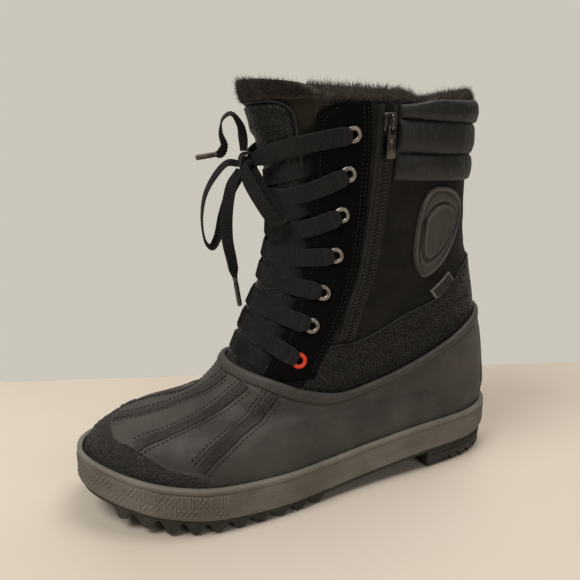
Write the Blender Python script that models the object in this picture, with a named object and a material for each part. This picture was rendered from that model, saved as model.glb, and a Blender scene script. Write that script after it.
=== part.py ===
"""Duck boot for the left foot: rubber shell, grey band, lugged outsole and a laced winter shaft.

Metres in the scene, millimetres in the tables below. +Z is up, the toe points to -X and the outer
(lateral) side of the foot faces -Y. The origin is on the floor, under the middle of the boot's box.
"""

import math

import bmesh
import bpy
import numpy as np
from mathutils import Matrix, Vector

MM = 0.001
GAP = 0.3

# Driving sizes.
LENGTH = 296.0
BAND_HEIGHT = 19.5
BAND_WALL = 2.9
BAND_LIP = 3.0
TRAY_FLOOR = 6.0
SHELL_WALL = 3.0
RIM_PROUD = 1.2
RIM_HEIGHT = 6.0
UPPER_WALL = 8.0
COLLAR_Z = 243.0
CUFF_HEIGHT = 9.0
INSOLE_THICKNESS = 4.0
INSOLE_CLEAR = 0.7
TONGUE_THICKNESS = 6.0
LACE_WIDTH = 9.0
LACE_THICKNESS = 1.2
EYELET_RADIUS = 4.9
EYELET_HOLE = 2.4
EYELET_PROUD = 1.1

# Points around each closed section, from the front ridge over the outer side to the back.
AROUND = 44


def table(names, *rows):
    """A small table with named columns, its first column in rising order."""
    values = np.array(rows, float)
    return {name: values[:, place] for place, name in enumerate(names.split())}


def read(rows, name, at, key=None):
    """The column `name` at `at`, on a smooth curve that never overshoots its rows."""
    xs = rows[key or next(iter(rows))]
    ys = rows[name]
    at = np.clip(np.asarray(at, float), xs[0], xs[-1])
    step = np.diff(xs)
    rise = np.diff(ys) / step
    slope = np.zeros(len(xs))
    for k in range(1, len(xs) - 1):
        if rise[k - 1] * rise[k] > 0:
            w1 = 2 * step[k] + step[k - 1]
            w2 = step[k] + 2 * step[k - 1]
            slope[k] = (w1 + w2) / (w1 / rise[k - 1] + w2 / rise[k])
    slope[0], slope[-1] = rise[0], rise[-1]
    k = np.clip(np.searchsorted(xs, at) - 1, 0, len(step) - 1)
    t = (at - xs[k]) / step[k]
    return (
        (1 + 2 * t) * (1 - t) ** 2 * ys[k]
        + t * (1 - t) ** 2 * step[k] * slope[k]
        + t * t * (3 - 2 * t) * ys[k + 1]
        + t * t * (t - 1) * step[k] * slope[k + 1]
    )


# The foot in plan: half widths on each side of the long axis before toe and heel are rounded.
PLAN = table(
    "x lateral medial",
    (-150, 38.0, 51.0),
    (-132, 43.0, 53.0),
    (-103, 52.0, 53.5),
    (-69, 57.5, 53.5),
    (-35, 55.5, 48.0),
    (-1, 49.5, 41.0),
    (34, 45.0, 38.0),
    (69, 42.5, 38.5),
    (103, 38.5, 40.0),
    (150, 33.0, 39.0),
)
TOE_ROUND = 68.0
HEEL_ROUND = 48.0
BAND_OVERHANG = 6.5

# The sole along its length: underside of the grey band and how far the tread is off the floor.
SOLE = table(
    "x band ground",
    (-150, 23.0, 13.0),
    (-120, 15.0, 5.0),
    (-95, 11.0, 0.0),
    (-80, 9.5, 0.0),
    (-30, 7.5, 0.0),
    (-5, 8.0, 0.5),
    (30, 10.5, 6.0),
    (78, 14.5, 8.0),
    (150, 15.5, 8.0),
)

# The upper by height: front ridge and back, how much of the foot's plan and of the shaft's width
# it has, the shaft's half widths, and the lengths over which front and back round off.
LEVELS = table(
    "z front back draw share lateral medial front_round front_power back_round",
    (10, -141.3, 141.3, 1.00, 0.00, 42, 41, 68, 2.4, 48),
    (24, -141.5, 141.5, 1.00, 0.00, 42, 41, 68, 2.4, 48),
    (34, -141.0, 141.2, 1.00, 0.00, 42, 41, 72, 2.3, 48),
    (42, -138.5, 142.4, 0.99, 0.00, 42, 41, 77, 2.1, 48),
    (48, -132.5, 143.6, 0.96, 0.03, 42, 41, 82, 2.0, 48),
    (52, -120.5, 143.4, 0.93, 0.05, 42, 41, 86, 2.0, 48),
    (54, -107.0, 143.2, 0.91, 0.08, 42, 41, 88, 2.0, 48),
    (56, -91.5, 143.0, 0.89, 0.11, 42, 41, 86, 2.0, 48),
    (60, -77.5, 142.0, 0.88, 0.16, 42, 41, 80, 2.0, 48),
    (67, -66.5, 140.5, 0.88, 0.24, 42, 41, 70, 2.1, 48),
    (76, -57.5, 138.0, 0.88, 0.40, 42, 41, 58, 2.2, 48),
    (86, -50.5, 134.8, 0.89, 0.58, 41, 40, 52, 2.2, 48),
    (98, -45.0, 131.0, 0.87, 0.76, 40, 39, 51, 2.2, 48),
    (115, -38.0, 128.0, 0.85, 0.94, 39.5, 39, 56, 2.2, 50),
    (140, -28.0, 123.0, 0.85, 1.00, 39.5, 39.5, 64, 2.2, 56),
    (170, -22.5, 116.8, 0.85, 1.00, 41, 41, 68, 2.2, 62),
    (200, -24.0, 117.0, 0.85, 1.00, 43, 43, 70, 2.2, 68),
    (225, -30.0, 118.0, 0.85, 1.00, 45, 45, 73, 2.2, 71),
    (260, -37.0, 120.5, 0.85, 1.00, 46.5, 46.5, 76, 2.2, 73),
)

# The shell's rim by its place between front ridge (0) and back (1).
RIM = table(
    "chord z",
    (0.00, 84.5),
    (0.10, 80.5),
    (0.23, 73.0),
    (0.37, 67.5),
    (0.49, 72.0),
    (0.61, 80.0),
    (0.75, 91.5),
    (0.89, 103.0),
    (1.00, 108.5),
)

# The eyelets up one side: height, and distance along the boot.
EYELETS = table(
    "row z x",
    (1, 91.5, -19.0),
    (2, 112.0, -10.0),
    (3, 131.5, -2.0),
    (4, 154.0, 6.0),
    (5, 178.5, 9.0),
    (6, 202.5, 11.5),
    (7, 225.0, 12.5),
)

# The throat from its foot, hidden by the shell, up to the collar.
THROAT = table(
    "z half",
    (72, 14.0),
    (75, 25.0),
    (80, 30.0),
    (88, 31.0),
    (109, 30.5),
    (127, 28.7),
    (150, 27.7),
    (187, 28.3),
    (208, 31.0),
    (228, 34.3),
    (243, 37.5),
    (262, 38.5),
)

# The zip's line on the outer side.
ZIP = table(
    "z x",
    (98, 12.0),
    (126, 20.5),
    (139, 25.5),
    (157, 29.0),
    (187, 31.8),
    (211, 32.8),
    (241, 33.5),
)
ZIP_WIDTH = 6.0
ZIP_PROUD = 1.9

# The quilted collar: its lower edge, and the seams between its three rolls.
COLLAR_SEAMS = (197.0, 213.5, 233.0, 246.0)
COLLAR_PROUD = 4.0

# The tread: lugs under the forefoot, and a toothed heel.
LUG_PITCH = 13.0
LUG_FOOT = 6.0
LUG_TIP = 3.6
SKIRT = 0.48
PLATE = 2.6
FIRST_LUG = -126.0
LAST_LUG = -9.0
HEEL_FRONT = 78.0
HEEL_FLAT = 17.0
TOOTH_PITCH = 9.0
TOOTH_DEPTH = 4.2
TREAD_INSET = 2.2

# The slider in its own frame: u runs back along the boot, v up, n out from the chain.
SLIDER_Z = 232.0
SLIDER_HEIGHT = 11.0
SLIDER_WIDTH = 8.4
SLIDER_SEAT = 0.2
SLIDER_BODY = 2.4
CROWN_HALF_WIDTH = 0.9
CROWN_INSIDE = 2.4
CROWN_BAR = 0.9
PIVOT_V = -2.6
PIVOT_N = SLIDER_SEAT + SLIDER_BODY + CROWN_INSIDE / 2
PULL_HALF_WIDTH = 3.1
PULL_THICKNESS = 1.2
PULL_LENGTH = 21.0

# The badge's outline up its axis, before it is turned on the quarter.
BADGE = table(
    "v left right",
    (-31, -1.5, 1.5),
    (-27, -6.5, 6.0),
    (-20, -11.5, 10.5),
    (-10, -15.5, 14.5),
    (2, -18.5, 17.5),
    (12, -19.5, 18.5),
    (20, -18.0, 17.0),
    (25, -13.5, 13.0),
    (28, -5.0, 5.0),
)
BADGE_X = 76.0
BADGE_Z = 166.0
BADGE_TURN = math.radians(-20)
BADGE_PROUD = 2.6
LABEL_X = 82.3
LABEL_Z = 129.8
LABEL_TURN = math.radians(38)
LABEL_HALF = (9.5, 3.9)
LABEL_PROUD = 0.9

# Where the laces cross, row by row: the height at which the run over the top and the run beneath
# it pass the ridge of the tongue, and the height at which each dips under the far edge.
LACING = table(
    "row over under edge",
    (1, 109.0, 109.0, 105.5),
    (2, 123.0, 124.0, 123.0),
    (3, 140.0, 141.0, 143.0),
    (4, 154.0, 155.0, 163.5),
    (5, 168.0, 176.5, 184.0),
    (6, 189.0, 200.0, 207.5),
)
BAR_EDGE_Z = 87.5
BAR_RIDGE_Z = 94.5
EDGE_REACH = 24.0
CROSS_LIFT = 1.15
CROSS_REACH = 5.0
TOP_LIFT = 2.9
TOP_REACH = 27.5
LIFT_FADE = 7.0
LACE_CLEAR = 0.75
EYELET_CLEAR = 6.4

# The bow. Each list is a route through the air from the knot, in the boot's own axes.
KNOT = (-37.3, 0.0, 209.0)
CORD_RADIUS = 2.3
KNOT_RADIUS = 2.6
ROUTES = {
    "lace_loop_near": (
        (-40.8, -2.3, 207.9),
        (-46.5, -6.5, 203.5),
        (-48.5, -9.5, 192.0),
        (-45.0, -11.5, 182.0),
        (-38.5, -15.5, 175.5),
        (-32.0, -20.0, 175.5),
        (-29.5, -22.0, 181.0),
        (-31.5, -20.0, 189.0),
        (-35.5, -15.5, 197.0),
        (-39.5, -10.0, 203.0),
    ),
    "lace_loop_far": (
        (-41.9, 4.1, 208.2),
        (-48.0, 10.0, 208.0),
        (-55.0, 15.0, 199.0),
        (-60.0, 18.0, 188.0),
        (-62.0, 19.5, 174.0),
        (-60.5, 20.0, 160.0),
        (-56.0, 20.5, 154.5),
        (-51.5, 21.0, 161.0),
        (-48.5, 19.0, 175.0),
        (-44.5, 14.0, 190.0),
        (-39.5, 7.5, 202.0),
    ),
    "lace_end_up": (
        (-39.5, 0.3, 215.7),
        (-39.8, 1.0, 224.0),
        (-41.0, 2.0, 231.0),
        (-46.0, 3.0, 237.5),
        (-51.5, 4.0, 234.0),
        (-52.5, 4.5, 226.0),
        (-50.5, 4.5, 219.0),
        (-53.0, 4.0, 214.5),
        (-57.5, 3.5, 213.5),
    ),
    "lace_end_down": (
        (-42.3, 0.4, 204.6),
        (-47.5, 1.0, 195.0),
        (-50.5, 1.5, 180.0),
        (-51.0, 1.0, 163.0),
        (-48.5, 0.0, 148.0),
        (-47.0, -1.0, 137.0),
    ),
}


def cap(reach, length, power=2.2):
    """Rounds a half width off to nothing over `length` from an end."""
    q = np.clip(reach / length, 0, 1)
    return np.sqrt(np.clip(1 - (1 - q) ** power, 0, 1))


def plan_width(x, side, inset=0.0):
    """Half width of the sole's outline at x, drawn in by `inset` all round."""
    half = LENGTH / 2 - inset
    wide = read(PLAN, side, x) - inset
    return wide * cap(x + half, TOE_ROUND, 2.4) * cap(half - x, HEEL_ROUND)


def half_width(x, z, side):
    """Half width of the upper at the height z, for the outer face of the leather and cloth."""
    foot = (read(PLAN, side, x) - BAND_OVERHANG) * read(LEVELS, "draw", z)
    share = read(LEVELS, "share", z)
    wide = (1 - share) * foot + share * read(LEVELS, side, z)
    power = read(LEVELS, "front_power", z)
    front = cap(x - read(LEVELS, "front", z), read(LEVELS, "front_round", z), power)
    back = cap(read(LEVELS, "back", z) - x, read(LEVELS, "back_round", z))
    return wide * front * back


def bare_point(turn, z):
    """The upper's surface at an angle from the front ridge and a height; outer side below 180."""
    turn = np.asarray(turn, float)
    z = np.asarray(z, float) + 0 * turn
    front = read(LEVELS, "front", z)
    chord = (1 - np.cos(turn)) / 2
    x = front + (read(LEVELS, "back", z) - front) * chord
    outer = -half_width(x, z, "lateral")
    inner = half_width(x, z, "medial")
    return np.stack([x, np.where(np.sin(turn) >= 0, outer, inner), z], -1)


def surface(turn, z, offset=0.0):
    """A point of the surface moved out by `offset` along its normal."""
    turn = np.asarray(turn, float)
    z = np.asarray(z, float) + 0 * turn
    step = 0.02
    along = bare_point(turn + step, z) - bare_point(turn - step, z)
    up = bare_point(turn, z + 0.5) - bare_point(turn, z - 0.5)
    normal = np.cross(along, up)
    normal /= np.maximum(np.linalg.norm(normal, axis=-1, keepdims=True), 1e-9)
    return bare_point(turn, z) + normal * np.asarray(offset, float)[..., None]


def turn_at(x, z, side="lateral"):
    """The angle from the front ridge at which the surface has the length x."""
    front = read(LEVELS, "front", z)
    chord = (np.asarray(x, float) - front) / (read(LEVELS, "back", z) - front)
    turn = np.arccos(np.clip(1 - 2 * chord, -1, 1))
    return turn if side == "lateral" else 2 * math.pi - turn


def side_point(x, z, offset, side="lateral"):
    """A point on the boot's side given by its length x and height z."""
    return surface(turn_at(x, z, side), z, offset)


def tray_line(chord):
    """Guide line just above the tray's floor, by the place between front ridge (0) and back (1)."""
    x = -LENGTH / 2 + LENGTH * chord
    return read(SOLE, "band", x) + TRAY_FLOOR + GAP


def insole_line(chord):
    return tray_line(chord) + INSOLE_THICKNESS


def rim_line(chord):
    return read(RIM, "z", chord)


def under_rim_line(chord):
    return rim_line(chord) - RIM_HEIGHT


def collar_line(chord):
    return COLLAR_Z + 0 * chord


# Mesh building -------------------------------------------------------------------------------


def make_material(name, colour, roughness, metallic=0.0):
    material = bpy.data.materials.new(name)
    material.use_nodes = True
    shader = material.node_tree.nodes["Principled BSDF"]
    shader.inputs["Base Color"].default_value = (*colour, 1)
    shader.inputs["Roughness"].default_value = roughness
    shader.inputs["Metallic"].default_value = metallic
    material.diffuse_color = (*colour, 1)
    return material


def add_object(name, mesh, material, collection, smooth=True):
    mesh.materials.clear()
    mesh.materials.append(material)
    if smooth:
        mesh.shade_smooth()
        mesh.set_sharp_from_angle(angle=math.radians(35))
    obj = bpy.data.objects.new(name, mesh)
    collection.objects.link(obj)
    return obj


def loft(name, rings, material, collection, ends="strips"):
    """A closed solid through like sections. Its ends are bridged across, or joined to each other."""
    builder = bmesh.new()
    loops = [[builder.verts.new(Vector(p) * MM) for p in ring] for ring in rings]
    count = len(rings[0])
    pairs = list(zip(loops, loops[1:]))
    if ends == "joined":
        pairs.append((loops[-1], loops[0]))
    for lower, upper in pairs:
        for k in range(count):
            n = (k + 1) % count
            builder.faces.new((lower[k], lower[n], upper[n], upper[k]))
    if ends == "strips":
        for loop in (loops[0], loops[-1]):
            for k in range(count // 2):
                four = (loop[k], loop[k + 1], loop[count - 1 - k], loop[(count - k) % count])
                corners = [v for place, v in enumerate(four) if v not in four[:place]]
                if len(corners) > 2:
                    builder.faces.new(corners)
    bmesh.ops.triangulate(builder, faces=builder.faces, quad_method="SHORT_EDGE")
    bmesh.ops.recalc_face_normals(builder, faces=builder.faces)
    mesh = bpy.data.meshes.new(name)
    builder.to_mesh(mesh)
    builder.free()
    return add_object(name, mesh, material, collection)


def slab(name, outer, inner, material, collection):
    """A closed solid between two like grids of points, joined along their four edges."""
    rows, columns = outer.shape[:2]
    rim = [(0, c) for c in range(columns)]
    rim += [(r, columns - 1) for r in range(1, rows)]
    rim += [(rows - 1, c) for c in range(columns - 2, -1, -1)]
    rim += [(r, 0) for r in range(rows - 2, 0, -1)]
    builder = bmesh.new()
    grids = []
    for grid in (outer, inner):
        verts = [[builder.verts.new(Vector(p) * MM) for p in row] for row in grid]
        for r in range(rows - 1):
            for c in range(columns - 1):
                four = (verts[r][c], verts[r][c + 1], verts[r + 1][c + 1], verts[r + 1][c])
                builder.faces.new(four)
        grids.append(verts)
    for (r, c), (rn, cn) in zip(rim, rim[1:] + rim[:1]):
        builder.faces.new((grids[0][r][c], grids[0][rn][cn], grids[1][rn][cn], grids[1][r][c]))
    bmesh.ops.recalc_face_normals(builder, faces=builder.faces)
    mesh = bpy.data.meshes.new(name)
    builder.to_mesh(mesh)
    builder.free()
    return add_object(name, mesh, material, collection)


def prism(name, outline, near, far, collection):
    """A cutter: an outline in Y and Z, extruded along X from `near` to `far`."""
    rings = [[(x, y, z) for y, z in outline] for x in (near, far)]
    builder = bmesh.new()
    loops = [[builder.verts.new(Vector(p) * MM) for p in ring] for ring in rings]
    for k in range(len(outline)):
        n = (k + 1) % len(outline)
        builder.faces.new((loops[0][k], loops[0][n], loops[1][n], loops[1][k]))
    for loop in loops:
        builder.faces.new(loop)
    bmesh.ops.recalc_face_normals(builder, faces=builder.faces)
    mesh = bpy.data.meshes.new(name)
    builder.to_mesh(mesh)
    builder.free()
    obj = bpy.data.objects.new(name, mesh)
    obj.display_type = "WIRE"
    obj.hide_render = True
    collection.objects.link(obj)
    return obj


def boolean(obj, cutter, operation="DIFFERENCE"):
    modifier = obj.modifiers.new(operation.title(), "BOOLEAN")
    modifier.operation = operation
    modifier.object = cutter


def shares(count):
    """Even steps from 0 to 1, for the levels of a loft."""
    return np.linspace(0, 1, count)


def turns():
    """Angles of the points round a closed section, none of them doubled."""
    return np.arange(AROUND) * 2 * math.pi / AROUND


def sole_ring(inset, rise):
    """A closed ring of the sole's outline, `rise` above the underside of the band."""
    turn = turns()
    half = LENGTH / 2 - inset
    x = -half * np.cos(turn)
    outer = -plan_width(x, "lateral", inset)
    inner = plan_width(x, "medial", inset)
    y = np.where(np.sin(turn) >= 0, outer, inner)
    return np.stack([x, y, read(SOLE, "band", x) + rise], -1)


def form_ring(share, low, high, offset):
    """A closed ring on the form, a share of the way from one guide line to another."""
    turn = turns()
    chord = (1 - np.cos(turn)) / 2
    z = low(chord) * (1 - share) + high(chord) * share
    return surface(turn, z, np.full(len(turn), offset))


# Sole -----------------------------------------------------------------------------------------


def make_band(material, collection):
    """The grey band: a tray with a low wall and a lip along its top edge."""
    lip = BAND_HEIGHT - BAND_LIP
    rings = [
        sole_ring(1.2, 0.0),
        sole_ring(0.5, 1.0),
        sole_ring(0.7, lip),
        sole_ring(0.0, lip + 0.6),
        sole_ring(0.0, BAND_HEIGHT - 0.5),
        sole_ring(0.6, BAND_HEIGHT),
        sole_ring(BAND_WALL, BAND_HEIGHT),
        sole_ring(BAND_WALL, TRAY_FLOOR),
    ]
    return loft("midsole_band", rings, material, collection)


def tread_stations():
    """Stations along the outsole: x, how far lugs and their outer skirt reach down, and zigzag."""
    front = -LENGTH / 2 + TREAD_INSET + 0.4
    rows = [(front, 0.0, 0.0, 0.0), (-138.0, 0.0, 0.0, 0.0)]
    count = int(round((LAST_LUG - FIRST_LUG) / LUG_PITCH)) + 1
    for k in range(count):
        middle = FIRST_LUG + k * LUG_PITCH
        zig = 2.0 if k % 2 else -2.0
        rows += [(middle - LUG_FOOT, 0.0, 0.0, zig), (middle - LUG_TIP, 1.0, 0.4, zig)]
        rows += [(middle, 1.0, 1.0, zig), (middle + LUG_TIP, 1.0, 0.4, zig)]
        rows += [(middle + LUG_FOOT, 0.0, 0.0, zig)]
    rows += [(x, 0.0, 0.0, 0.0) for x in (12.0, 32.0, 55.0, HEEL_FRONT - 4.0)]
    return rows


def heel_stations():
    """Stations along the heel: x, and the height of its underside."""
    rows = [(HEEL_FRONT, 0.0), (HEEL_FRONT + HEEL_FLAT, 0.0)]
    back = LENGTH / 2 - TREAD_INSET
    x = HEEL_FRONT + HEEL_FLAT
    while x + TOOTH_PITCH < back - 5.0:
        rows += [(x + 2.5, TOOTH_DEPTH), (x + 6.0, 0.0), (x + TOOTH_PITCH, 0.0)]
        x += TOOTH_PITCH
    return rows + [(back - 0.4, 1.0)]


def make_outsole(material, collection):
    """The black outsole: a thin plate with zigzag lugs under the forefoot and a toothed heel."""
    across = np.array([0.0, 0.025, 0.25, 0.5, 0.75, 0.975, 1.0])
    edge = np.array([1, 0, 0, 0, 0, 0, 1])
    bend = np.array([0, 0, -1, 1, -1, 0, 0])
    stations = [(x, None, lug, skirt, zig) for x, lug, skirt, zig in tread_stations()]
    stations += [(x, under, 0.0, 0.0, 0.0) for x, under in heel_stations()]
    top, under = [], []
    limit = LENGTH / 2 - TREAD_INSET - 0.3
    for x, fixed, lug, skirt, zig in stations:
        x = np.clip(x + bend * zig, -limit, limit)
        outer = -plan_width(x, "lateral", TREAD_INSET)
        inner = plan_width(x, "medial", TREAD_INSET)
        y = outer + (inner - outer) * across
        seat = read(SOLE, "band", x) - GAP
        plate = seat - PLATE
        reach = np.where(edge, SKIRT * skirt, lug)
        z = plate + (read(SOLE, "ground", x) - plate) * reach
        if fixed is not None:
            z = np.full(len(x), fixed)
        top.append(np.stack([x, y, seat], -1))
        under.append(np.stack([x, y, z], -1))
    return slab("outsole", np.array(top), np.array(under), material, collection)


def make_insole(material, collection):
    """The footbed inside the upper, lying on the tray's floor."""
    inset = -UPPER_WALL - INSOLE_CLEAR
    rings = [form_ring(share, tray_line, insole_line, inset) for share in (0, 1)]
    return loft("insole", rings, material, collection)


# Upper ----------------------------------------------------------------------------------------


def make_shell(material, collection):
    """The rubber shell: a low overshoe over toe, sides and heel, with a raised rim."""
    outside = GAP + SHELL_WALL
    proud = outside + RIM_PROUD
    rings = [form_ring(s, tray_line, under_rim_line, outside) for s in shares(8)]
    rings += [form_ring(s, under_rim_line, rim_line, proud) for s in (0.12, 0.5, 0.9)]
    rings += [form_ring(1.0, under_rim_line, rim_line, proud - 0.7)]
    rings += [form_ring(s, tray_line, rim_line, 2 * GAP) for s in shares(8)[::-1]]
    return loft("rubber_shell", rings, material, collection, ends="joined")


def throat_outline(margin=0.0):
    """The throat seen from the front: it narrows to a round foot and is open at the top."""
    heights = (71, 72, 73, 75, 77, 80, 84, 96, 109, 127, 150, 168, 187, 200, 214, 228, 243, 262)
    side = [(float(read(THROAT, "half", z)) + margin, float(z)) for z in heights]
    return side + [(-y, z) for y, z in side[::-1]]


def make_upper(material, collection, cutters):
    """The lined upper: one hollow tube from the sole to the collar, open along the throat."""
    outside = [form_ring(s, tray_line, rim_line, 0.0) for s in shares(8)]
    outside += [form_ring(s, rim_line, collar_line, 0.0) for s in shares(10)[1:]]
    inside = [form_ring(s, rim_line, collar_line, -UPPER_WALL) for s in shares(7)[:0:-1]]
    inside += [form_ring(s, tray_line, rim_line, -UPPER_WALL) for s in shares(6)[::-1]]
    obj = loft("upper", outside + inside, material, collection, ends="joined")
    boolean(obj, prism("throat_cutter", throat_outline(), -200.0, 32.0, cutters))
    return obj


def make_tongue(material, collection):
    """The gusseted tongue: it fills the throat from edge to edge and stands up at the collar."""
    rows = (73.5, 78, 84, 93, 104, 118, 134, 152, 172, 192, 212, 230, 244, 252, 257)
    columns = np.linspace(-1, 1, 13)
    outer = np.zeros((len(rows), len(columns), 3))
    inner = np.zeros_like(outer)
    for r, z in enumerate(rows):
        half = float(read(THROAT, "half", z)) - 1.4
        flare = max(z - 215.0, 0.0) / 42.0
        lean = -5.0 * flare * flare
        thick = TONGUE_THICKNESS - 2.0 * flare
        for c, across in enumerate(columns):
            round_top = -4.0 * across * across if z > 250 else 0.0
            face = front_point(across * half, z) + np.array([lean + 0.8, 0.0, round_top])
            outer[r, c] = face
            inner[r, c] = face + np.array([thick, 0, 0])
    return slab("tongue", outer, inner, material, collection)


def front_point(y, z, offset=0.0):
    """The point on the front of the form at a given y, moved out by `offset`."""
    side = "lateral" if y < 0 else "medial"
    near = float(read(LEVELS, "front", z))
    far = near + 75.0
    for _ in range(40):
        middle = (near + far) / 2
        if half_width(middle, z, side) < abs(y):
            near = middle
        else:
            far = middle
    if offset == 0.0:
        return np.array([near, y, z])
    return side_point(near, z, offset, side)


def make_cuff(material, collection, cutters):
    """The fleece cuff: the thick edge of the lining above the collar."""
    low = COLLAR_Z + GAP
    turn = turns()
    profile = (
        (low, -0.6),
        (low + CUFF_HEIGHT * 0.55, -0.9),
        (low + CUFF_HEIGHT * 0.9, -2.4),
        (low + CUFF_HEIGHT, -4.5),
        (low + CUFF_HEIGHT * 0.9, -6.8),
        (low, -UPPER_WALL),
    )
    rings = [surface(turn, z, np.full(len(turn), offset)) for z, offset in profile]
    obj = loft("fleece_cuff", rings, material, collection, ends="joined")
    boolean(obj, prism("cuff_cutter", throat_outline(1.0), -200.0, 32.0, cutters))
    return obj


def make_collar(material, collection):
    """The quilted collar: three padded rolls round the back, from the zip to the inner facing."""
    heights = []
    for low, high in zip(COLLAR_SEAMS, COLLAR_SEAMS[1:]):
        for share in (0.0, 0.25, 0.6):
            heights.append((low + (high - low) * share, math.sin(math.pi * share) ** 0.6))
    heights.append((COLLAR_SEAMS[-1], 0.25))
    columns = 21
    outer = np.zeros((len(heights), columns, 3))
    inner = np.zeros_like(outer)
    for r, (z, swell) in enumerate(heights):
        start = float(turn_at(read(ZIP, "x", z) + 7.0, z))
        end = float(turn_at(34.0, z, "medial"))
        turn = np.linspace(start, end, columns)
        ends = cap(np.minimum(turn - start, end - turn) + 0.03, 0.2)
        proud = 1.2 + (COLLAR_PROUD - 1.2) * swell * ends
        outer[r] = surface(turn, z, proud)
        inner[r] = surface(turn, z, np.full(columns, 2 * GAP))
    return slab("quilted_collar", outer, inner, material, collection)


# Fittings -------------------------------------------------------------------------------------


def frame_at(x, z, side):
    """The place and the axes of a fitting that lies flat on the boot's side."""
    here = side_point(x, z, 0.0, side)
    out = side_point(x, z, 1.0, side) - here
    out = Vector(out).normalized()
    up = Vector((0, 0, 1))
    up = (up - out * up.dot(out)).normalized()
    return Vector(here), out, up


def eyelet_mesh():
    """A rolled ring, turned about Z, with its flat back at zero."""
    profile = (
        (EYELET_HOLE, 0.0),
        (EYELET_HOLE, EYELET_PROUD * 0.6),
        (EYELET_HOLE + 1.0, EYELET_PROUD),
        (EYELET_RADIUS - 0.6, EYELET_PROUD * 0.75),
        (EYELET_RADIUS, 0.0),
    )
    sides = 8
    builder = bmesh.new()
    loops = []
    for k in range(sides):
        angle = 2 * math.pi * k / sides
        loop = []
        for radius, z in profile:
            place = Vector((radius * math.cos(angle), radius * math.sin(angle), z))
            loop.append(builder.verts.new(place * MM))
        loops.append(loop)
    for k in range(sides):
        here, there = loops[k], loops[(k + 1) % sides]
        for p in range(len(profile)):
            n = (p + 1) % len(profile)
            builder.faces.new((here[p], here[n], there[n], there[p]))
    bmesh.ops.recalc_face_normals(builder, faces=builder.faces)
    mesh = bpy.data.meshes.new("eyelet")
    builder.to_mesh(mesh)
    builder.free()
    return mesh


def make_eyelets(metal, red, collection):
    for side in ("lateral", "medial"):
        for row in range(7):
            z = float(EYELETS["z"][row])
            here, out, up = frame_at(float(EYELETS["x"][row]), z, side)
            material = red if row == 0 else metal
            obj = add_object(f"eyelet_{side}_{row + 1}", eyelet_mesh(), material, collection)
            right = up.cross(out)
            place = (here + out * (GAP + 0.2)) * MM
            turned = Matrix((right, up, out)).transposed().to_4x4()
            obj.matrix_world = Matrix.Translation(place) @ turned


def make_zip(collection, cloth):
    """The closed zip: a ribbed chain down the outer side."""
    heights = np.linspace(ZIP["z"][0] + 3.0, SLIDER_Z - SLIDER_HEIGHT / 2 - 1.0, 15)
    across = np.array([-1.0, -0.45, 0.45, 1.0])
    proud = np.array([0.5, ZIP_PROUD, ZIP_PROUD, 0.5]) + GAP
    outer = np.zeros((len(heights), len(across), 3))
    inner = np.zeros_like(outer)
    for r, z in enumerate(heights):
        x = read(ZIP, "x", z) + across * ZIP_WIDTH / 2
        outer[r] = side_point(x, z, proud)
        inner[r] = side_point(x, z, np.full(len(across), GAP))
    slab("zip_chain", outer, inner, cloth, collection)


def slider_frame():
    """Origin and axes of the slider, upright on the outer side at the head of the zip."""
    x = float(read(ZIP, "x", SLIDER_Z))
    origin = Vector(side_point(x, SLIDER_Z, GAP + 0.6))
    out = Vector(side_point(x, SLIDER_Z, 10.0)) - origin
    out = Vector((out.x, out.y, 0)).normalized()
    up = Vector((0, 0, 1))
    return origin, up.cross(out), up, out


def extruded(name, outline, holes, low, high, material, collection, pivot=None):
    """A plate in the slider's frame: an outline in u and v with a hole, between two n."""
    origin, right, up, out = slider_frame()
    base = pivot or Vector((0, 0, 0))
    builder = bmesh.new()

    def corner(u, v, n):
        return builder.verts.new((right * u + up * v + out * n - base) * MM)

    levels = []
    for n in (low, high):
        levels.append([[corner(u, v, n) for u, v in ring] for ring in [outline, *holes]])
    for lower, upper in zip(*levels):
        for k in range(len(lower)):
            m = (k + 1) % len(lower)
            builder.faces.new((lower[k], lower[m], upper[m], upper[k]))
    for loops in levels:
        if len(loops) == 1:
            builder.faces.new(loops[0])
            continue
        for k in range(len(loops[0])):
            m = (k + 1) % len(loops[0])
            builder.faces.new((loops[0][k], loops[0][m], loops[1][m], loops[1][k]))
    bmesh.ops.recalc_face_normals(builder, faces=builder.faces)
    mesh = bpy.data.meshes.new(name)
    builder.to_mesh(mesh)
    builder.free()
    obj = add_object(name, mesh, material, collection, smooth=False)
    obj.location = (origin + base) * MM
    return obj


def rounded_box(half_u, half_v, corner, middle_v=0.0):
    """An outline with cut corners, the same number of points for any size."""
    u, v, c = half_u, half_v, corner
    points = [(u, v - c), (u - c, v), (-u + c, v), (-u, v - c)]
    points += [(-u, -v + c), (-u + c, -v), (u - c, -v), (u, -v + c)]
    return [(a, b + middle_v) for a, b in points]


def make_slider(metal, collection, cutters):
    """The slider: a body astride the chain, with a crown that the pull hangs from."""
    outline = rounded_box(SLIDER_WIDTH / 2, SLIDER_HEIGHT / 2, 2.2)
    top = SLIDER_SEAT + SLIDER_BODY
    obj = extruded("zip_slider", outline, [], SLIDER_SEAT, top, metal, collection)
    side = rounded_box(CROWN_HALF_WIDTH, 4.8, 0.3)
    height = top + CROWN_INSIDE + CROWN_BAR
    crown = extruded("crown", side, [], top - 0.6, height, metal, cutters)
    gap = rounded_box(CROWN_HALF_WIDTH + 1.0, 3.9, 0.3)
    window = extruded("crown_gap", gap, [], top, top + CROWN_INSIDE, metal, cutters)
    for helper in (crown, window):
        helper.display_type = "WIRE"
        helper.hide_render = True
    boolean(crown, window)
    boolean(obj, crown, "UNION")


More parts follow.
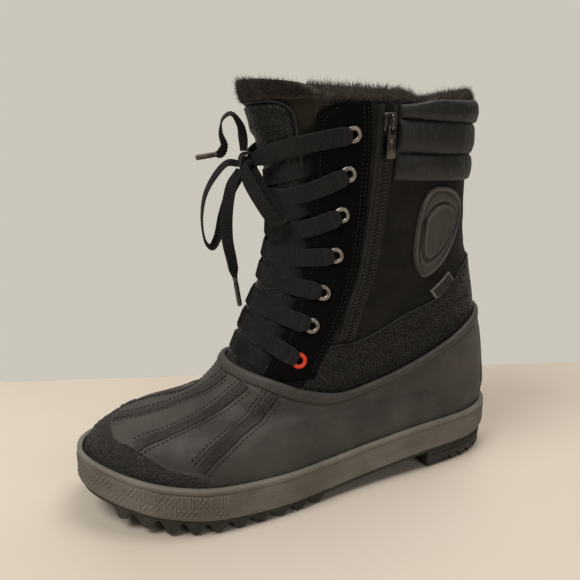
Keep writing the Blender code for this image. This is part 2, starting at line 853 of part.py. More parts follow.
def make_pull(metal, collection):
    """The pull tab: a plate with an eye at its head, hanging from the slider's crown."""
    half = PULL_HALF_WIDTH
    pivot_bar = 0.6
    foot = PIVOT_V - PULL_LENGTH
    middle = (PIVOT_V + pivot_bar + foot) / 2
    outline = rounded_box(half, (PIVOT_V + pivot_bar - foot) / 2, 1.0, middle)
    eye_top = PIVOT_V - pivot_bar
    eye = rounded_box(half - 1.1, 2.2, 0.6, eye_top - 2.2)
    _, _, up, out = slider_frame()
    pivot = up * PIVOT_V + out * PIVOT_N
    low = PIVOT_N - PULL_THICKNESS / 2
    args = (low, low + PULL_THICKNESS, metal, collection, pivot)
    extruded("zip_pull", outline, [eye], *args)


# Badge and label ------------------------------------------------------------------------------

def side_patch(name, grid, centre, turned, proud, material, collection):
    """A thin piece that lies on the outer side, from a grid of its own flat coordinates."""
    cos, sin = math.cos(turned), math.sin(turned)
    rows, columns = len(grid), len(grid[0])
    outer = np.zeros((rows, columns, 3))
    inner = np.zeros_like(outer)
    for r, row in enumerate(grid):
        for c, (u, v) in enumerate(row):
            along, z = flat_to_side(u * cos - v * sin, u * sin + v * cos, centre)
            edge = r in (0, rows - 1) or c in (0, columns - 1)
            outer[r, c] = side_point(along, z, proud * (0.55 if edge else 1.0) + 2 * GAP)
            inner[r, c] = side_point(along, z, 2 * GAP)
    return slab(name, outer, inner, material, collection)


def flat_to_side(u, v, centre):
    """Lays a flat distance out from `centre` round the boot's side."""
    x, z = centre[0], centre[1] + v
    steps = 12
    for _ in range(steps):
        here = bare_point(turn_at(x, z), z)
        there = bare_point(turn_at(x + 0.5, z), z)
        slope = np.linalg.norm(there - here) / 0.5
        x += u / steps / slope
    return x, z


def make_badge(material, collection):
    """The shield badge on the quarter, its face left bare."""
    shares = np.linspace(0, 1, 7)
    heights = np.array([-31, -27.5, -22, -14, -5, 4, 12, 19, 24, 27, 28])
    grid = []
    for v in heights:
        left, right = read(BADGE, "left", v), read(BADGE, "right", v)
        grid.append([(left + (right - left) * s, v) for s in shares])
    args = ((BADGE_X, BADGE_Z), BADGE_TURN, BADGE_PROUD, material, collection)
    return side_patch("badge_shield", grid, *args)


def make_label(material, collection):
    """The small woven label on the quarter's lower edge, left bare."""
    long, short = LABEL_HALF
    heights = (-short, -short / 2, short / 2, short)
    grid = [[(u, v) for u in np.linspace(-long, long, 6)] for v in heights]
    args = ((LABEL_X, LABEL_Z), LABEL_TURN, LABEL_PROUD, material, collection)
    return side_patch("side_label", grid, *args)


# Laces ----------------------------------------------------------------------------------------

def lace_height(ends, ridge, y):
    """Height of a run of lace at y: a curve through its two ends and its place on the ridge."""
    (y0, z0), (y1, z1) = ends
    first = z0 * y * (y - y1) / (y0 * (y0 - y1))
    middle = ridge * (y - y0) * (y - y1) / (y0 * y1)
    last = z1 * y * (y - y0) / (y1 * (y1 - y0))
    return first + middle + last


def flat_lace(name, ends, ridge, lift, reach, material, collection, count=9):
    """One run of flat lace over the throat, between two places given by y and z."""
    rings = []
    for y in np.linspace(ends[0][0], ends[1][0], count):
        step = 0.5 * math.copysign(1, ends[1][0] - ends[0][0])
        fade = min(max((abs(y) - reach) / LIFT_FADE, 0.0), 1.0)
        low = LACE_CLEAR + lift * (1 - fade * fade * (3 - 2 * fade))
        z = lace_height(ends, ridge, y)
        here = front_point(y, z)
        ahead = front_point(y + step, lace_height(ends, ridge, y + step))
        side = np.cross(ahead - here, front_point(y, z, 1.0) - here)
        side = side / np.linalg.norm(side) * LACE_WIDTH / 2
        near = front_point(y, z, low)
        far = front_point(y, z, low + LACE_THICKNESS)
        rings.append([near - side, near + side, far + side, far - side])
    return loft(name, rings, material, collection)


def eyelet_end(row, sign):
    """Where a lace comes out of the eyelet of a row, on the outer side for a sign of -1."""
    x, z = float(EYELETS["x"][row]), float(EYELETS["z"][row])
    return sign * (float(half_width(x, z, "lateral")) - EYELET_CLEAR), z


def joined(name, under, over, material, collection, cutters):
    """Two runs of lace that cross and are made one solid."""
    first = flat_lace(name, *under, material, collection)
    second = flat_lace(name + "_over", *over, material, cutters)
    second.display_type = "WIRE"
    second.hide_render = True
    boolean(first, second, "UNION")


def make_laces(material, collection, cutters):
    """The crossings of the flat lace, from the bar at its foot up to the knot."""
    ends = ((-EDGE_REACH, BAR_EDGE_Z), (EDGE_REACH, BAR_EDGE_Z))
    flat_lace("lace_bar", ends, BAR_RIDGE_Z, 0.0, CROSS_REACH, material, collection)
    for row in range(6):
        over_z, under_z, edge_z = (float(LACING[key][row]) for key in ("over", "under", "edge"))
        over = ((eyelet_end(row, -1), (EDGE_REACH, edge_z)), over_z, CROSS_LIFT, CROSS_REACH)
        under = (((-EDGE_REACH, edge_z), eyelet_end(row, 1)), under_z, 0.0, CROSS_REACH)
        joined(f"lace_cross_{row + 1}", under, over, material, collection, cutters)
    near = ((eyelet_end(6, -1), (4.0, KNOT[2] + 2.0)), KNOT[2] + 3.0, TOP_LIFT, TOP_REACH)
    far = ((eyelet_end(6, 1), (-4.0, KNOT[2] + 2.0)), KNOT[2] + 3.0, TOP_LIFT, TOP_REACH)
    joined("lace_top", near, far, material, collection, cutters)


def smooth_route(points, spacing):
    """Evenly spaced points on a smooth curve through the given ones."""
    points = np.array(points, float)
    padded = np.vstack([2 * points[0] - points[1], points, 2 * points[-1] - points[-2]])
    curve = []
    for k in range(1, len(padded) - 2):
        p0, p1, p2, p3 = padded[k - 1 : k + 3]
        for t in np.linspace(0, 1, 24, endpoint=False):
            a = 2 * p1 + (p2 - p0) * t
            b = (2 * p0 - 5 * p1 + 4 * p2 - p3) * t * t
            c = (3 * p1 - p0 - 3 * p2 + p3) * t * t * t
            curve.append((a + b + c) / 2)
    curve.append(padded[-2])
    curve = np.array(curve)
    run = np.concatenate([[0], np.cumsum(np.linalg.norm(np.diff(curve, axis=0), axis=1))])
    even = np.linspace(0, run[-1], max(3, int(round(run[-1] / spacing)) + 1))
    return np.stack([np.interp(even, run, curve[:, axis]) for axis in range(3)], -1)


def cord(name, points, radius, spacing, material, collection):
    """A round tube along a route."""
    curve = bpy.data.curves.new(name, "CURVE")
    curve.dimensions = "3D"
    spline = curve.splines.new("POLY")
    path = smooth_route(points, spacing)
    spline.points.add(len(path) - 1)
    for point, place in zip(spline.points, path):
        point.co = (*(place * MM), 1)
    curve.bevel_depth = radius * MM
    curve.bevel_resolution = 2
    curve.use_fill_caps = True
    curve.materials.append(material)
    obj = bpy.data.objects.new(name, curve)
    collection.objects.link(obj)
    return obj


def knot_route():
    """One turn and a half of lace drawn tight round the middle of the bow."""
    x, y, z = KNOT
    points = []
    for k in range(10):
        angle = math.radians(-60 + 36 * k)
        points.append((x + 3.0 * math.cos(angle), y - 2.5 + 0.6 * k, z + 4.0 * math.sin(angle)))
    return points


def make_bow(lace, metal, collection):
    cord("lace_knot", knot_route(), KNOT_RADIUS, 2.4, lace, collection)
    for name, route in ROUTES.items():
        cord(name, route, CORD_RADIUS, 6.0, lace, collection)
    for name in ("lace_end_up", "lace_end_down"):
        path = np.array(ROUTES[name], float)
        along = path[-1] - path[-2]
        along /= np.linalg.norm(along)
        start = path[-1] + along * 2 * GAP
        points = [start, start + along * 9.0, start + along * 18.0]
        cord(name.replace("end", "aglet"), points, 1.6, 6.0, metal, collection)


# Scene ----------------------------------------------------------------------------------------


def clear_scene():
    for obj in list(bpy.data.objects):
        bpy.data.objects.remove(obj, do_unlink=True)


def new_collection(name):
    collection = bpy.data.collections.new(name)
    bpy.context.scene.collection.children.link(collection)
    return collection


def main():
    clear_scene()
    boot = new_collection("duck_boot")
    cutters = new_collection("cutters")
    cutters.hide_render = True

    black_rubber = make_material("black_rubber", (0.012, 0.012, 0.012), 0.7)
    shell_rubber = make_material("shell_rubber", (0.032, 0.031, 0.03), 0.62)
    grey_rubber = make_material("grey_rubber", (0.13, 0.125, 0.115), 0.7)
    cloth = make_material("black_cloth", (0.012, 0.012, 0.013), 0.85)
    satin = make_material("quilted_satin", (0.018, 0.018, 0.02), 0.5)
    leather = make_material("black_leather", (0.014, 0.014, 0.014), 0.45)
    fleece = make_material("black_fleece", (0.008, 0.008, 0.008), 0.95)
    metal = make_material("worn_metal", (0.32, 0.3, 0.28), 0.4, 1.0)
    red = make_material("red_enamel", (0.75, 0.07, 0.02), 0.4)
    badge = make_material("badge_rubber", (0.06, 0.056, 0.05), 0.55)
    label = make_material("label_weave", (0.3, 0.3, 0.29), 0.8)
    lace = make_material("black_lace", (0.02, 0.02, 0.021), 0.8)

    make_outsole(black_rubber, boot)
    make_band(grey_rubber, boot)
    make_insole(fleece, boot)
    make_shell(shell_rubber, boot)
    make_upper(cloth, boot, cutters)
    make_tongue(leather, boot)
    make_cuff(fleece, boot, cutters)
    make_collar(satin, boot)
    make_eyelets(metal, red, boot)
    make_zip(boot, cloth)
    make_slider(metal, boot, cutters)
    make_pull(metal, boot)
    make_badge(badge, boot)
    make_label(label, boot)
    make_laces(lace, boot, cutters)
    make_bow(lace, metal, boot)


main()
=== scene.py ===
"""Visual model of a duck boot for the left foot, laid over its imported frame.

Millimetres in the tables and in every function below, metres in the scene. The toe points to -X,
the outer (lateral) side of the foot faces -Y, +Z is up and the floor is at zero.
"""

import math

import bmesh
import bpy
import numpy as np
from bpy.props import FloatProperty, FloatVectorProperty, IntProperty, PointerProperty
from mathutils import Matrix, Vector


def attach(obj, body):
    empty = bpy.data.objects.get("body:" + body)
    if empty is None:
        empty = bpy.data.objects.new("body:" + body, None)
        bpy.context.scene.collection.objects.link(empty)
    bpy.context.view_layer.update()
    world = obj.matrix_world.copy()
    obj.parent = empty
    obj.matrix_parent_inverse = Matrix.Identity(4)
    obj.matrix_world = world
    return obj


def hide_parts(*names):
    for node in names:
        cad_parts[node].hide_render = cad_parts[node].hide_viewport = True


bl_info = {
    "name": "Duck boot",
    "version": (1, 0, 0),
    "blender": (4, 5, 0),
    "location": "3D View > Sidebar > Boot",
    "description": "Builds the visible boot round its frame: rubber, cloth, leather, fleece, laces",
    "category": "Add Mesh",
}

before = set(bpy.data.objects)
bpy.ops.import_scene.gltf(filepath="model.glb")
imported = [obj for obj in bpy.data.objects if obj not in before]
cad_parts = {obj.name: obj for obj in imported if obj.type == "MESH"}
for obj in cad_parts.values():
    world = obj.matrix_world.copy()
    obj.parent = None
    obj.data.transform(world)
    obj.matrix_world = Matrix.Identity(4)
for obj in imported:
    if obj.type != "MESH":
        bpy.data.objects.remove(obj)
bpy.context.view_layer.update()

MM = 0.001
GAP = 0.3
TAU = 2 * math.pi

LENGTH = 296.0
BAND_WALL = 2.9
TRAY_FLOOR = 6.0
SHELL_WALL = 3.0
RIM_HEIGHT = 6.0
UPPER_WALL = 8.0
COLLAR_Z = 243.0
TOE_ROUND = 68.0
HEEL_ROUND = 48.0
BAND_OVERHANG = 6.5
SHELL_FACE = GAP + SHELL_WALL


def table(names, *rows):
    """A small table with named columns, its first column in rising order."""
    values = np.array(rows, float)
    return {name: values[:, place] for place, name in enumerate(names.split())}


def read(rows, name, at, key=None):
    """The column `name` at `at`, on a smooth curve that never overshoots its rows."""
    xs = rows[key or next(iter(rows))]
    ys = rows[name]
    at = np.clip(np.asarray(at, float), xs[0], xs[-1])
    step = np.diff(xs)
    rise = np.diff(ys) / step
    slope = np.zeros(len(xs))
    for k in range(1, len(xs) - 1):
        if rise[k - 1] * rise[k] > 0:
            w1 = 2 * step[k] + step[k - 1]
            w2 = step[k] + 2 * step[k - 1]
            slope[k] = (w1 + w2) / (w1 / rise[k - 1] + w2 / rise[k])
    slope[0], slope[-1] = rise[0], rise[-1]
    k = np.clip(np.searchsorted(xs, at) - 1, 0, len(step) - 1)
    t = (at - xs[k]) / step[k]
    return (
        (1 + 2 * t) * (1 - t) ** 2 * ys[k]
        + t * (1 - t) ** 2 * step[k] * slope[k]
        + t * t * (3 - 2 * t) * ys[k + 1]
        + t * t * (t - 1) * step[k] * slope[k + 1]
    )


# The last's own tables, the same as the frame's.
PLAN = table(
    "x lateral medial",
    (-150, 38, 51), (-132, 43, 53), (-103, 52, 53.5), (-69, 57.5, 53.5), (-35, 55.5, 48),
    (-1, 49.5, 41), (34, 45, 38), (69, 42.5, 38.5), (103, 38.5, 40), (150, 33, 39),
)
SOLE = table(
    "x band ground",
    (-150, 23, 13), (-120, 15, 5), (-95, 11, 0), (-80, 9.5, 0), (-30, 7.5, 0), (-5, 8, 0.5),
    (30, 10.5, 6), (78, 14.5, 8), (150, 15.5, 8),
)
LEVELS = table(
    "z front back draw share lateral medial front_round front_power back_round",
    (10, -141.3, 141.3, 1, 0, 42, 41, 68, 2.4, 48), (24, -141.5, 141.5, 1, 0, 42, 41, 68, 2.4, 48),
    (34, -141, 141.2, 1, 0, 42, 41, 72, 2.3, 48), (42, -138.5, 142.4, 0.99, 0, 42, 41, 77, 2.1, 48),
    (48, -132.5, 143.6, 0.96, 0.03, 42, 41, 82, 2, 48),
    (52, -120.5, 143.4, 0.93, 0.05, 42, 41, 86, 2, 48),
    (54, -107, 143.2, 0.91, 0.08, 42, 41, 88, 2, 48), (56, -91.5, 143, 0.89, 0.11, 42, 41, 86, 2, 48),
    (60, -77.5, 142, 0.88, 0.16, 42, 41, 80, 2, 48),
    (67, -66.5, 140.5, 0.88, 0.24, 42, 41, 70, 2.1, 48),
    (76, -57.5, 138, 0.88, 0.4, 42, 41, 58, 2.2, 48),
    (86, -50.5, 134.8, 0.89, 0.58, 41, 40, 52, 2.2, 48),
    (98, -45, 131, 0.87, 0.76, 40, 39, 51, 2.2, 48), (115, -38, 128, 0.85, 0.94, 39.5, 39, 56, 2.2, 50),
    (140, -28, 123, 0.85, 1, 39.5, 39.5, 64, 2.2, 56),
    (170, -22.5, 116.8, 0.85, 1, 41, 41, 68, 2.2, 62), (200, -24, 117, 0.85, 1, 43, 43, 70, 2.2, 68),
    (225, -30, 118, 0.85, 1, 45, 45, 73, 2.2, 71), (260, -37, 120.5, 0.85, 1, 46.5, 46.5, 76, 2.2, 73),
)
RIM = table(
    "chord z",
    (0, 84.5), (0.1, 80.5), (0.23, 73), (0.37, 67.5), (0.49, 72), (0.61, 80), (0.75, 91.5), (0.89, 103),
    (1, 108.5),
)
EYELETS = table(
    "row z x",
    (1, 91.5, -19), (2, 112, -10), (3, 131.5, -2), (4, 154, 6), (5, 178.5, 9), (6, 202.5, 11.5),
    (7, 225, 12.5),
)
THROAT = table(
    "z half",
    (72, 14), (75, 25), (80, 30), (88, 31), (109, 30.5), (127, 28.7), (150, 27.7), (187, 28.3),
    (208, 31), (228, 34.3), (243, 37.5), (262, 38.5),
)
ZIP = table(
    "z x",
    (98, 12), (126, 20.5), (139, 25.5), (157, 29), (187, 31.8), (211, 32.8), (241, 33.5),
)
# The back edge of the eyestay, and the top of the leather quarter by place round the boot.
EYESTAY = table(
    "z back",
    (76, -10.5), (84, -7.5), (99, 0.7), (120, 10.7), (151, 20.3), (187, 23.6), (216, 23.9), (245, 21.5),
)
QUARTER = table(
    "chord z",
    (0.2, 96), (0.27, 98.3), (0.36, 99.2), (0.47, 105.7), (0.54, 111.7), (0.69, 121), (0.785, 129.5),
    (0.84, 138), (0.94, 143.8), (1, 145.5),
)
TOE_CAP = table(
    "y x",
    (-56, -74), (-54, -77.5), (-52.5, -83), (-49.7, -90.5), (-42.5, -103.5), (-31, -115.5), (-24, -121),
    (-19, -125.5), (-12, -128), (-4, -128.3), (4, -127.4), (11, -126), (16, -122.5), (24, -113),
    (34, -106), (45, -95), (52, -81), (56, -74),
)


def cap(reach, length, power=2.2):
    """Rounds a half width off to nothing over `length` from an end."""
    q = np.clip(reach / length, 0, 1)
    return np.sqrt(np.clip(1 - (1 - q) ** power, 0, 1))


def soft(t):
    """A smooth step from 0 to 1 as t goes from 0 to 1."""
    t = np.clip(t, 0, 1)
    return t * t * (3 - 2 * t)


def hump(t):
    """A smooth bell: 1 at t = 0, gone by about 2 either way."""
    return np.exp(-np.square(t))


def plan_width(x, side, inset=0.0):
    """Half width of the sole's outline at x, drawn in by `inset` all round."""
    half = LENGTH / 2 - inset
    wide = read(PLAN, side, x) - inset
    return wide * cap(x + half, TOE_ROUND, 2.4) * cap(half - x, HEEL_ROUND)


def half_width(x, z, side):
    """Half width of the upper at the height z, for the outer face of the leather and cloth."""
    foot = (read(PLAN, side, x) - BAND_OVERHANG) * read(LEVELS, "draw", z)
    share = read(LEVELS, "share", z)
    wide = (1 - share) * foot + share * read(LEVELS, side, z)
    power = read(LEVELS, "front_power", z)
    front = cap(x - read(LEVELS, "front", z), read(LEVELS, "front_round", z), power)
    back = cap(read(LEVELS, "back", z) - x, read(LEVELS, "back_round", z))
    return wide * front * back


def side_width(x, z, y):
    """Half width of the upper on the side that y is on."""
    return np.where(y < 0, half_width(x, z, "lateral"), half_width(x, z, "medial"))


def bare_point(turn, z):
    """The upper's surface at an angle from the front ridge and a height; outer side below 180."""
    turn = np.asarray(turn, float)
    z = np.asarray(z, float) + 0 * turn
    front = read(LEVELS, "front", z)
    chord = chord_of(turn)
    x = front + (read(LEVELS, "back", z) - front) * chord
    outer = -half_width(x, z, "lateral")
    inner = half_width(x, z, "medial")
    return stacked(x, np.where(np.sin(turn) >= 0, outer, inner), z)


def chord_of(turn):
    """How far along the form an angle from the front ridge is, 0 at the front to 1 at the back."""
    return (1 - np.cos(turn)) / 2


def stacked(*parts):
    """Points from arrays of their parts."""
    return np.stack(parts, -1)


def unit(vectors):
    return vectors / np.maximum(np.linalg.norm(vectors, axis=-1, keepdims=True), 1e-9)


def normal_at(turn, z):
    step = 0.02
    along = bare_point(turn + step, z) - bare_point(turn - step, z)
    up = bare_point(turn, z + 0.5) - bare_point(turn, z - 0.5)
    return unit(np.cross(along, up))


def surface(turn, z, offset=0.0):
    """A point of the surface moved out by `offset` along its normal."""
    turn = np.asarray(turn, float)
    z = np.asarray(z, float) + 0 * turn
    return bare_point(turn, z) + normal_at(turn, z) * np.asarray(offset, float)[..., None]


def chord_at(x, z):
    front = read(LEVELS, "front", z)
    return (np.asarray(x, float) - front) / (read(LEVELS, "back", z) - front)


def turn_at(x, z, side="lateral"):
    """The angle from the front ridge at which the surface has the length x."""
    turn = np.arccos(np.clip(1 - 2 * chord_at(x, z), -1, 1))
    return turn if side == "lateral" else TAU - turn


def side_point(x, z, offset=0.0, side="lateral"):
    """A point on the boot's side given by its length x and height z."""
    return surface(turn_at(x, z, side), z, offset)


def front_x(y, z):
    """How far along the boot its front has reached the half width |y| at the height z."""
    y, z = np.broadcast_arrays(np.asarray(y, float), np.asarray(z, float))
    near = read(LEVELS, "front", z)
    far = near + 75.0
    for _ in range(40):
        middle = (near + far) / 2
        short = side_width(middle, z, y) < np.abs(y)
        near = np.where(short, middle, near)
        far = np.where(short, far, middle)
    return near


def front_turn(y, z):
    """The angle from the front ridge at which the front of the form has the given y."""
    turn = turn_at(front_x(y, z), z)
    return np.where(np.asarray(y, float) < 0, turn, TAU - turn)


def run_along(path):
    """How far each point of a path is from its start."""
    return np.concatenate([[0], np.cumsum(np.linalg.norm(np.diff(path, axis=0), axis=1))])


def front_point(y, z, offset=0.0):
    """The point on the front of the form at a given y, moved out by `offset`."""
    y, z = np.broadcast_arrays(np.asarray(y, float), np.asarray(z, float))
    near = front_x(y, z)
    bare = stacked(near, y, z)
    sides = ("lateral", "medial")
    outer, inner = (unit(side_point(near, z, 1.0, s) - side_point(near, z, 0.0, s)) for s in sides)
    ridge = soft((np.abs(y) - 0.2) / 3.0)[..., None]
    chosen = np.where((y < 0)[..., None], outer, inner)
    normal = unit(chosen * ridge + (outer + inner) / 2 * (1 - ridge))
    return bare + normal * np.asarray(offset, float)[..., None]


def tray_line(chord):
    """Guide line just above the tray's floor, by the place between front ridge (0) and back (1)."""
    return read(SOLE, "band", -LENGTH / 2 + LENGTH * chord) + TRAY_FLOOR + GAP


def rim_line(chord):
    return read(RIM, "z", chord)


def even_turns(count, z=48.0):
    """Angles round the whole form whose points are evenly spaced at the height z."""
    dense = np.linspace(0, TAU, 4001)
    run = run_along(bare_point(dense, z))
    return np.interp(np.arange(count) / count * run[-1], run, dense)


def fine_ends(count, fine=0.75):
    """Steps from 0 to 1 that lie closer together at both ends."""
    t = np.linspace(0, 1, count)
    return t - fine * np.sin(TAU * t) / TAU


def smooth_route(points, spacing):
    """Evenly spaced points on a smooth curve through the given ones."""
    points = np.array(points, float)
    padded = np.vstack([2 * points[0] - points[1], points, 2 * points[-1] - points[-2]])
    curve = []
    for k in range(1, len(padded) - 2):
        p0, p1, p2, p3 = padded[k - 1 : k + 3]
        for t in np.linspace(0, 1, 24, endpoint=False):
            a = 2 * p1 + (p2 - p0) * t
            b = (2 * p0 - 5 * p1 + 4 * p2 - p3) * t * t
            c = (3 * p1 - p0 - 3 * p2 + p3) * t * t * t
            curve.append((a + b + c) / 2)
    curve.append(padded[-2])
    return evenly(np.array(curve), spacing)


def column_mix(at, run, columns):
    return np.stack([np.interp(at, run, column) for column in columns.T], -1)


def evenly(curve, spacing):
    """The curve's points again, about `spacing` apart."""
    run = run_along(curve)
    even = np.linspace(0, run[-1], max(3, int(round(run[-1] / spacing)) + 1))
    return column_mix(even, run, curve)


def noise(points, scale, seed=0):
    """Smooth random values from -1 to 1 over space; cells are `scale` across."""
    at = np.asarray(points, float) / np.asarray(scale, float)
    cell = np.floor(at).astype(np.int64)
    part = at - cell
    part = part * part * (3 - 2 * part)
    total = np.zeros(at.shape[:-1])
    for corner in np.ndindex(*(2,) * at.shape[-1]):
        spot = cell + np.array(corner)
        mixed = np.full(at.shape[:-1], seed * 7919 + 1013, np.int64)
        for axis, prime in zip(range(at.shape[-1]), (73856093, 19349663, 83492791)):
            mixed ^= spot[..., axis] * prime
        mixed = (mixed ^ (mixed >> 13)) * 1274126177
        value = ((mixed ^ (mixed >> 16)) & 0xFFFF) / 32767.5 - 1
        weight = np.prod(np.where(np.array(corner) == 1, part, 1 - part), axis=-1)
        total += value * weight
    return total


def from_line(points, line):
    """Distance of flat points from a line of points, and how far along it they are, 0 to 1."""
    points = np.asarray(points, float)
    line = np.asarray(line, float)
    best = np.full(points.shape[:-1], 1e9)
    along = np.zeros(points.shape[:-1])
    count = len(line) - 1
    for k in range(count):
        run = line[k + 1] - line[k]
        t = np.clip(((points - line[k]) @ run) / (run @ run), 0, 1)
        gap = np.linalg.norm(points - line[k] - t[..., None] * run, axis=-1)
        nearer = gap < best
        best = np.where(nearer, gap, best)
        along = np.where(nearer, (k + t) / count, along)
    return best, along


def inside_of(points, outline):
    """True where a flat point is inside the closed outline."""
    x, y = points[..., 0], points[..., 1]
    inside = np.zeros(x.shape, bool)
    for (x0, y0), (x1, y1) in zip(outline, np.roll(outline, -1, axis=0)):
        if y0 != y1:
            crosses = (y0 > y) != (y1 > y)
            inside ^= crosses & (x < (x1 - x0) * (y - y0) / (y1 - y0) + x0)
    return inside


# Meshes -------------------------------


FINISHES = {}


def raised(point, height):
    """Places at a height off a surface, and the normals there. point(h) gives them at any h."""
    places = point(height)
    return places, unit(point(height + 1.0) - places)


def closed_grid(grid, columns, rows):
    """The grid with its first column and its first row once more at the end, where it closes."""
    if columns:
        grid = np.concatenate([grid, grid[:, :1]], 1)
    return np.concatenate([grid, grid[:1]], 0) if rows else grid


class Shape:
    """Gathers the points and faces of one piece, with a flat layout in metres for weaves."""

    def __init__(self):
        self.points, self.lays, self.faces, self.face_lays, self.slots = [], [], [], [], []
        self.count = 0

    def add_points(self, points, lay=None):
        flat = points.reshape(-1, 3)
        self.points.append(flat)
        self.lays.append(np.zeros((len(flat), 2)) if lay is None else lay.reshape(-1, 2))
        index = self.count + np.arange(len(flat))
        self.count += len(flat)
        return index.reshape(points.shape[:-1])

    def add_faces(self, faces, slot=0, lay=None):
        """Faces of three or four corners, all alike, as rows of point numbers."""
        self.faces.append(faces)
        self.face_lays.append(lay)
        self.slots.append(np.full(len(faces), slot))

    def grid(self, points, wrap=False, wrap_rows=False, slot=0, lay=None):
        """A sheet of quads over rows and columns of points."""
        points = np.asarray(points, float)
        if lay is None:
            lay = layout(closed_grid(points, wrap, wrap_rows))
        rows, columns = points.shape[:2]
        index = self.add_points(points, lay[:rows, :columns])
        full = closed_grid(index, wrap, wrap_rows)
        low, high = slice(None, -1), slice(1, None)
        picks = ((low, low), (low, high), (high, high), (high, low))
        faces = np.stack([full[pick] for pick in picks], -1).reshape(-1, 4)
        lays = np.stack([lay[pick] for pick in picks], -2).reshape(-1, 4, 2)
        self.add_faces(faces, slot, lays)
        return index

    def bridge(self, first, second, closed=False):
        """Quads between two lines of point numbers."""
        if closed:
            first, second = np.append(first, first[0]), np.append(second, second[0])
        self.add_faces(stacked(first[:-1], first[1:], second[1:], second[:-1]))

    def cap_rings(self, *rings):
        """Closes each ring of point numbers with a point at its middle."""
        for ring in rings:
            middle = np.concatenate(self.points)[ring].mean(0)
            lay = np.concatenate(self.lays)[ring].mean(0)
            hub = np.full(len(ring), self.add_points(middle[None], lay[None])[0])
            self.add_faces(stacked(ring, np.roll(ring, -1), hub))

    def slab(self, outer, inner, wrap=False, inner_slot=0):
        """A closed sheet with a thickness: two like grids and their edges."""
        a, b = self.grid(outer, wrap), self.grid(inner, wrap, slot=inner_slot)
        self.bridge(a[0], b[0], wrap)
        self.bridge(a[-1], b[-1], wrap)
        if not wrap:
            self.bridge(a[:, 0], b[:, 0])
            self.bridge(a[:, -1], b[:, -1])
        return self

    def copies(self, points, faces, places, axes, sizes):
        """Many small like shapes. points is one shape, axes three unit vectors for each place."""
        spread = np.einsum("nki,nij->nkj", points[None] * sizes[:, None, :], axes)
        index = self.add_points(places[:, None, :] + spread)
        for part in faces:
            self.add_faces(index[:, part].reshape(-1, len(part[0])))

    def mesh(self, name):
        """The mesh of everything gathered, in metres."""
        points, lays = np.concatenate(self.points) * MM, np.concatenate(self.lays)
        sizes = np.concatenate([np.full(len(f), f.shape[1]) for f in self.faces])
        corners = np.concatenate([f.ravel() for f in self.faces])
        parts = zip(self.faces, self.face_lays)
        lay = np.concatenate([lays[f.ravel()] if u is None else u.reshape(-1, 2) for f, u in parts])
        starts = np.concatenate([[0], np.cumsum(sizes)[:-1]])
        mesh = bpy.data.meshes.new(name)
        mesh.vertices.add(len(points))
        mesh.vertices.foreach_set("co", points.ravel())
        mesh.loops.add(len(corners))
        mesh.loops.foreach_set("vertex_index", corners.astype(np.int32))
        mesh.polygons.add(len(sizes))
        mesh.polygons.foreach_set("loop_start", starts.astype(np.int32))
        mesh.polygons.foreach_set("material_index", np.concatenate(self.slots).astype(np.int32))
        mesh.uv_layers.new(name=LAY)
        mesh.uv_layers[LAY].uv.foreach_set("vector", lay.astype(np.float32).ravel())
        mesh.update(calc_edges=True)
        mesh.validate()
        return mesh

    def piece(self, name, materials, body="boot", replaces=(), sharp=38.0, fix_normals=True):
        """Makes the piece, lets it ride on its body and has it stand for its nodes."""
        mesh = self.mesh(name)
        if fix_normals:
            builder = bmesh.new()
            builder.from_mesh(mesh)
            bmesh.ops.recalc_face_normals(builder, faces=builder.faces)
            builder.to_mesh(mesh)
            builder.free()
        mesh.shade_smooth()
        mesh.set_sharp_from_angle(angle=math.radians(sharp))
        for material in [materials] if isinstance(materials, str) else materials:
            mesh.materials.append(FINISHES[material])
        obj = bpy.data.objects.new(name, mesh)
        bpy.context.scene.collection.objects.link(obj)
        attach(obj, body)
        if replaces:
            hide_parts(*replaces)
        return obj


LAY = "lay"


def reaches(grid):
    """How far each point of a grid is along its row and up its column."""
    along = np.linalg.norm(np.diff(grid, axis=1), axis=2)
    up = np.linalg.norm(np.diff(grid, axis=0), axis=2)
    along = np.concatenate([np.zeros((len(grid), 1)), np.cumsum(along, 1)], 1)
    return along, np.concatenate([np.zeros((1, grid.shape[1])), np.cumsum(up, 0)], 0)


def layout(grid):
    """How a grid of points lies flat, in metres: along its rows from their middle, and up."""
    along, up = reaches(grid)
    return stacked(along - along[:, along.shape[1] // 2][:, None], up) * MM


def rolled(grid, roll, sides=(1, 1, 1, 1)):
    """How full a sheet is near its edges, 0 to 1: left, right, first row, last row."""
    along, up = reaches(grid)
    full = np.ones(grid.shape[:2])
    for gap, wanted in zip((along, along[:, -1:] - along, up, up[-1:] - up), sides):
        if wanted:
            full *= cap(gap, roll, 2)
    return full


def frames_along(path, face):
    """Side and face vectors along a path, its face kept near to `face`."""
    tangent = unit(np.gradient(path, axis=0))
    face = np.broadcast_to(np.asarray(face, float), path.shape)
    face = unit(face - (face * tangent).sum(-1, keepdims=True) * tangent)
    return np.cross(face, tangent), face


def sweep(shape, path, side, face, profile, wide=1.0, thick=1.0):
    """A profile of (across, out) points carried along a path, closed at both ends."""
    profile = np.asarray(profile, float)
    wide = np.broadcast_to(wide, (len(path),))[:, None, None]
    thick = np.broadcast_to(thick, (len(path),))[:, None, None]
    grid = path[:, None] + side[:, None] * profile[None, :, :1] * wide
    grid = grid + face[:, None] * profile[None, :, 1:] * thick
    run = run_along(path)
    across = np.append(profile[:, 0], profile[0, 0])
    lay = np.stack(np.broadcast_arrays(across[None] * wide[:, :, 0], run[:, None]), -1) * MM
    index = shape.grid(grid, wrap=True, lay=lay)
    shape.cap_rings(index[0], index[-1])


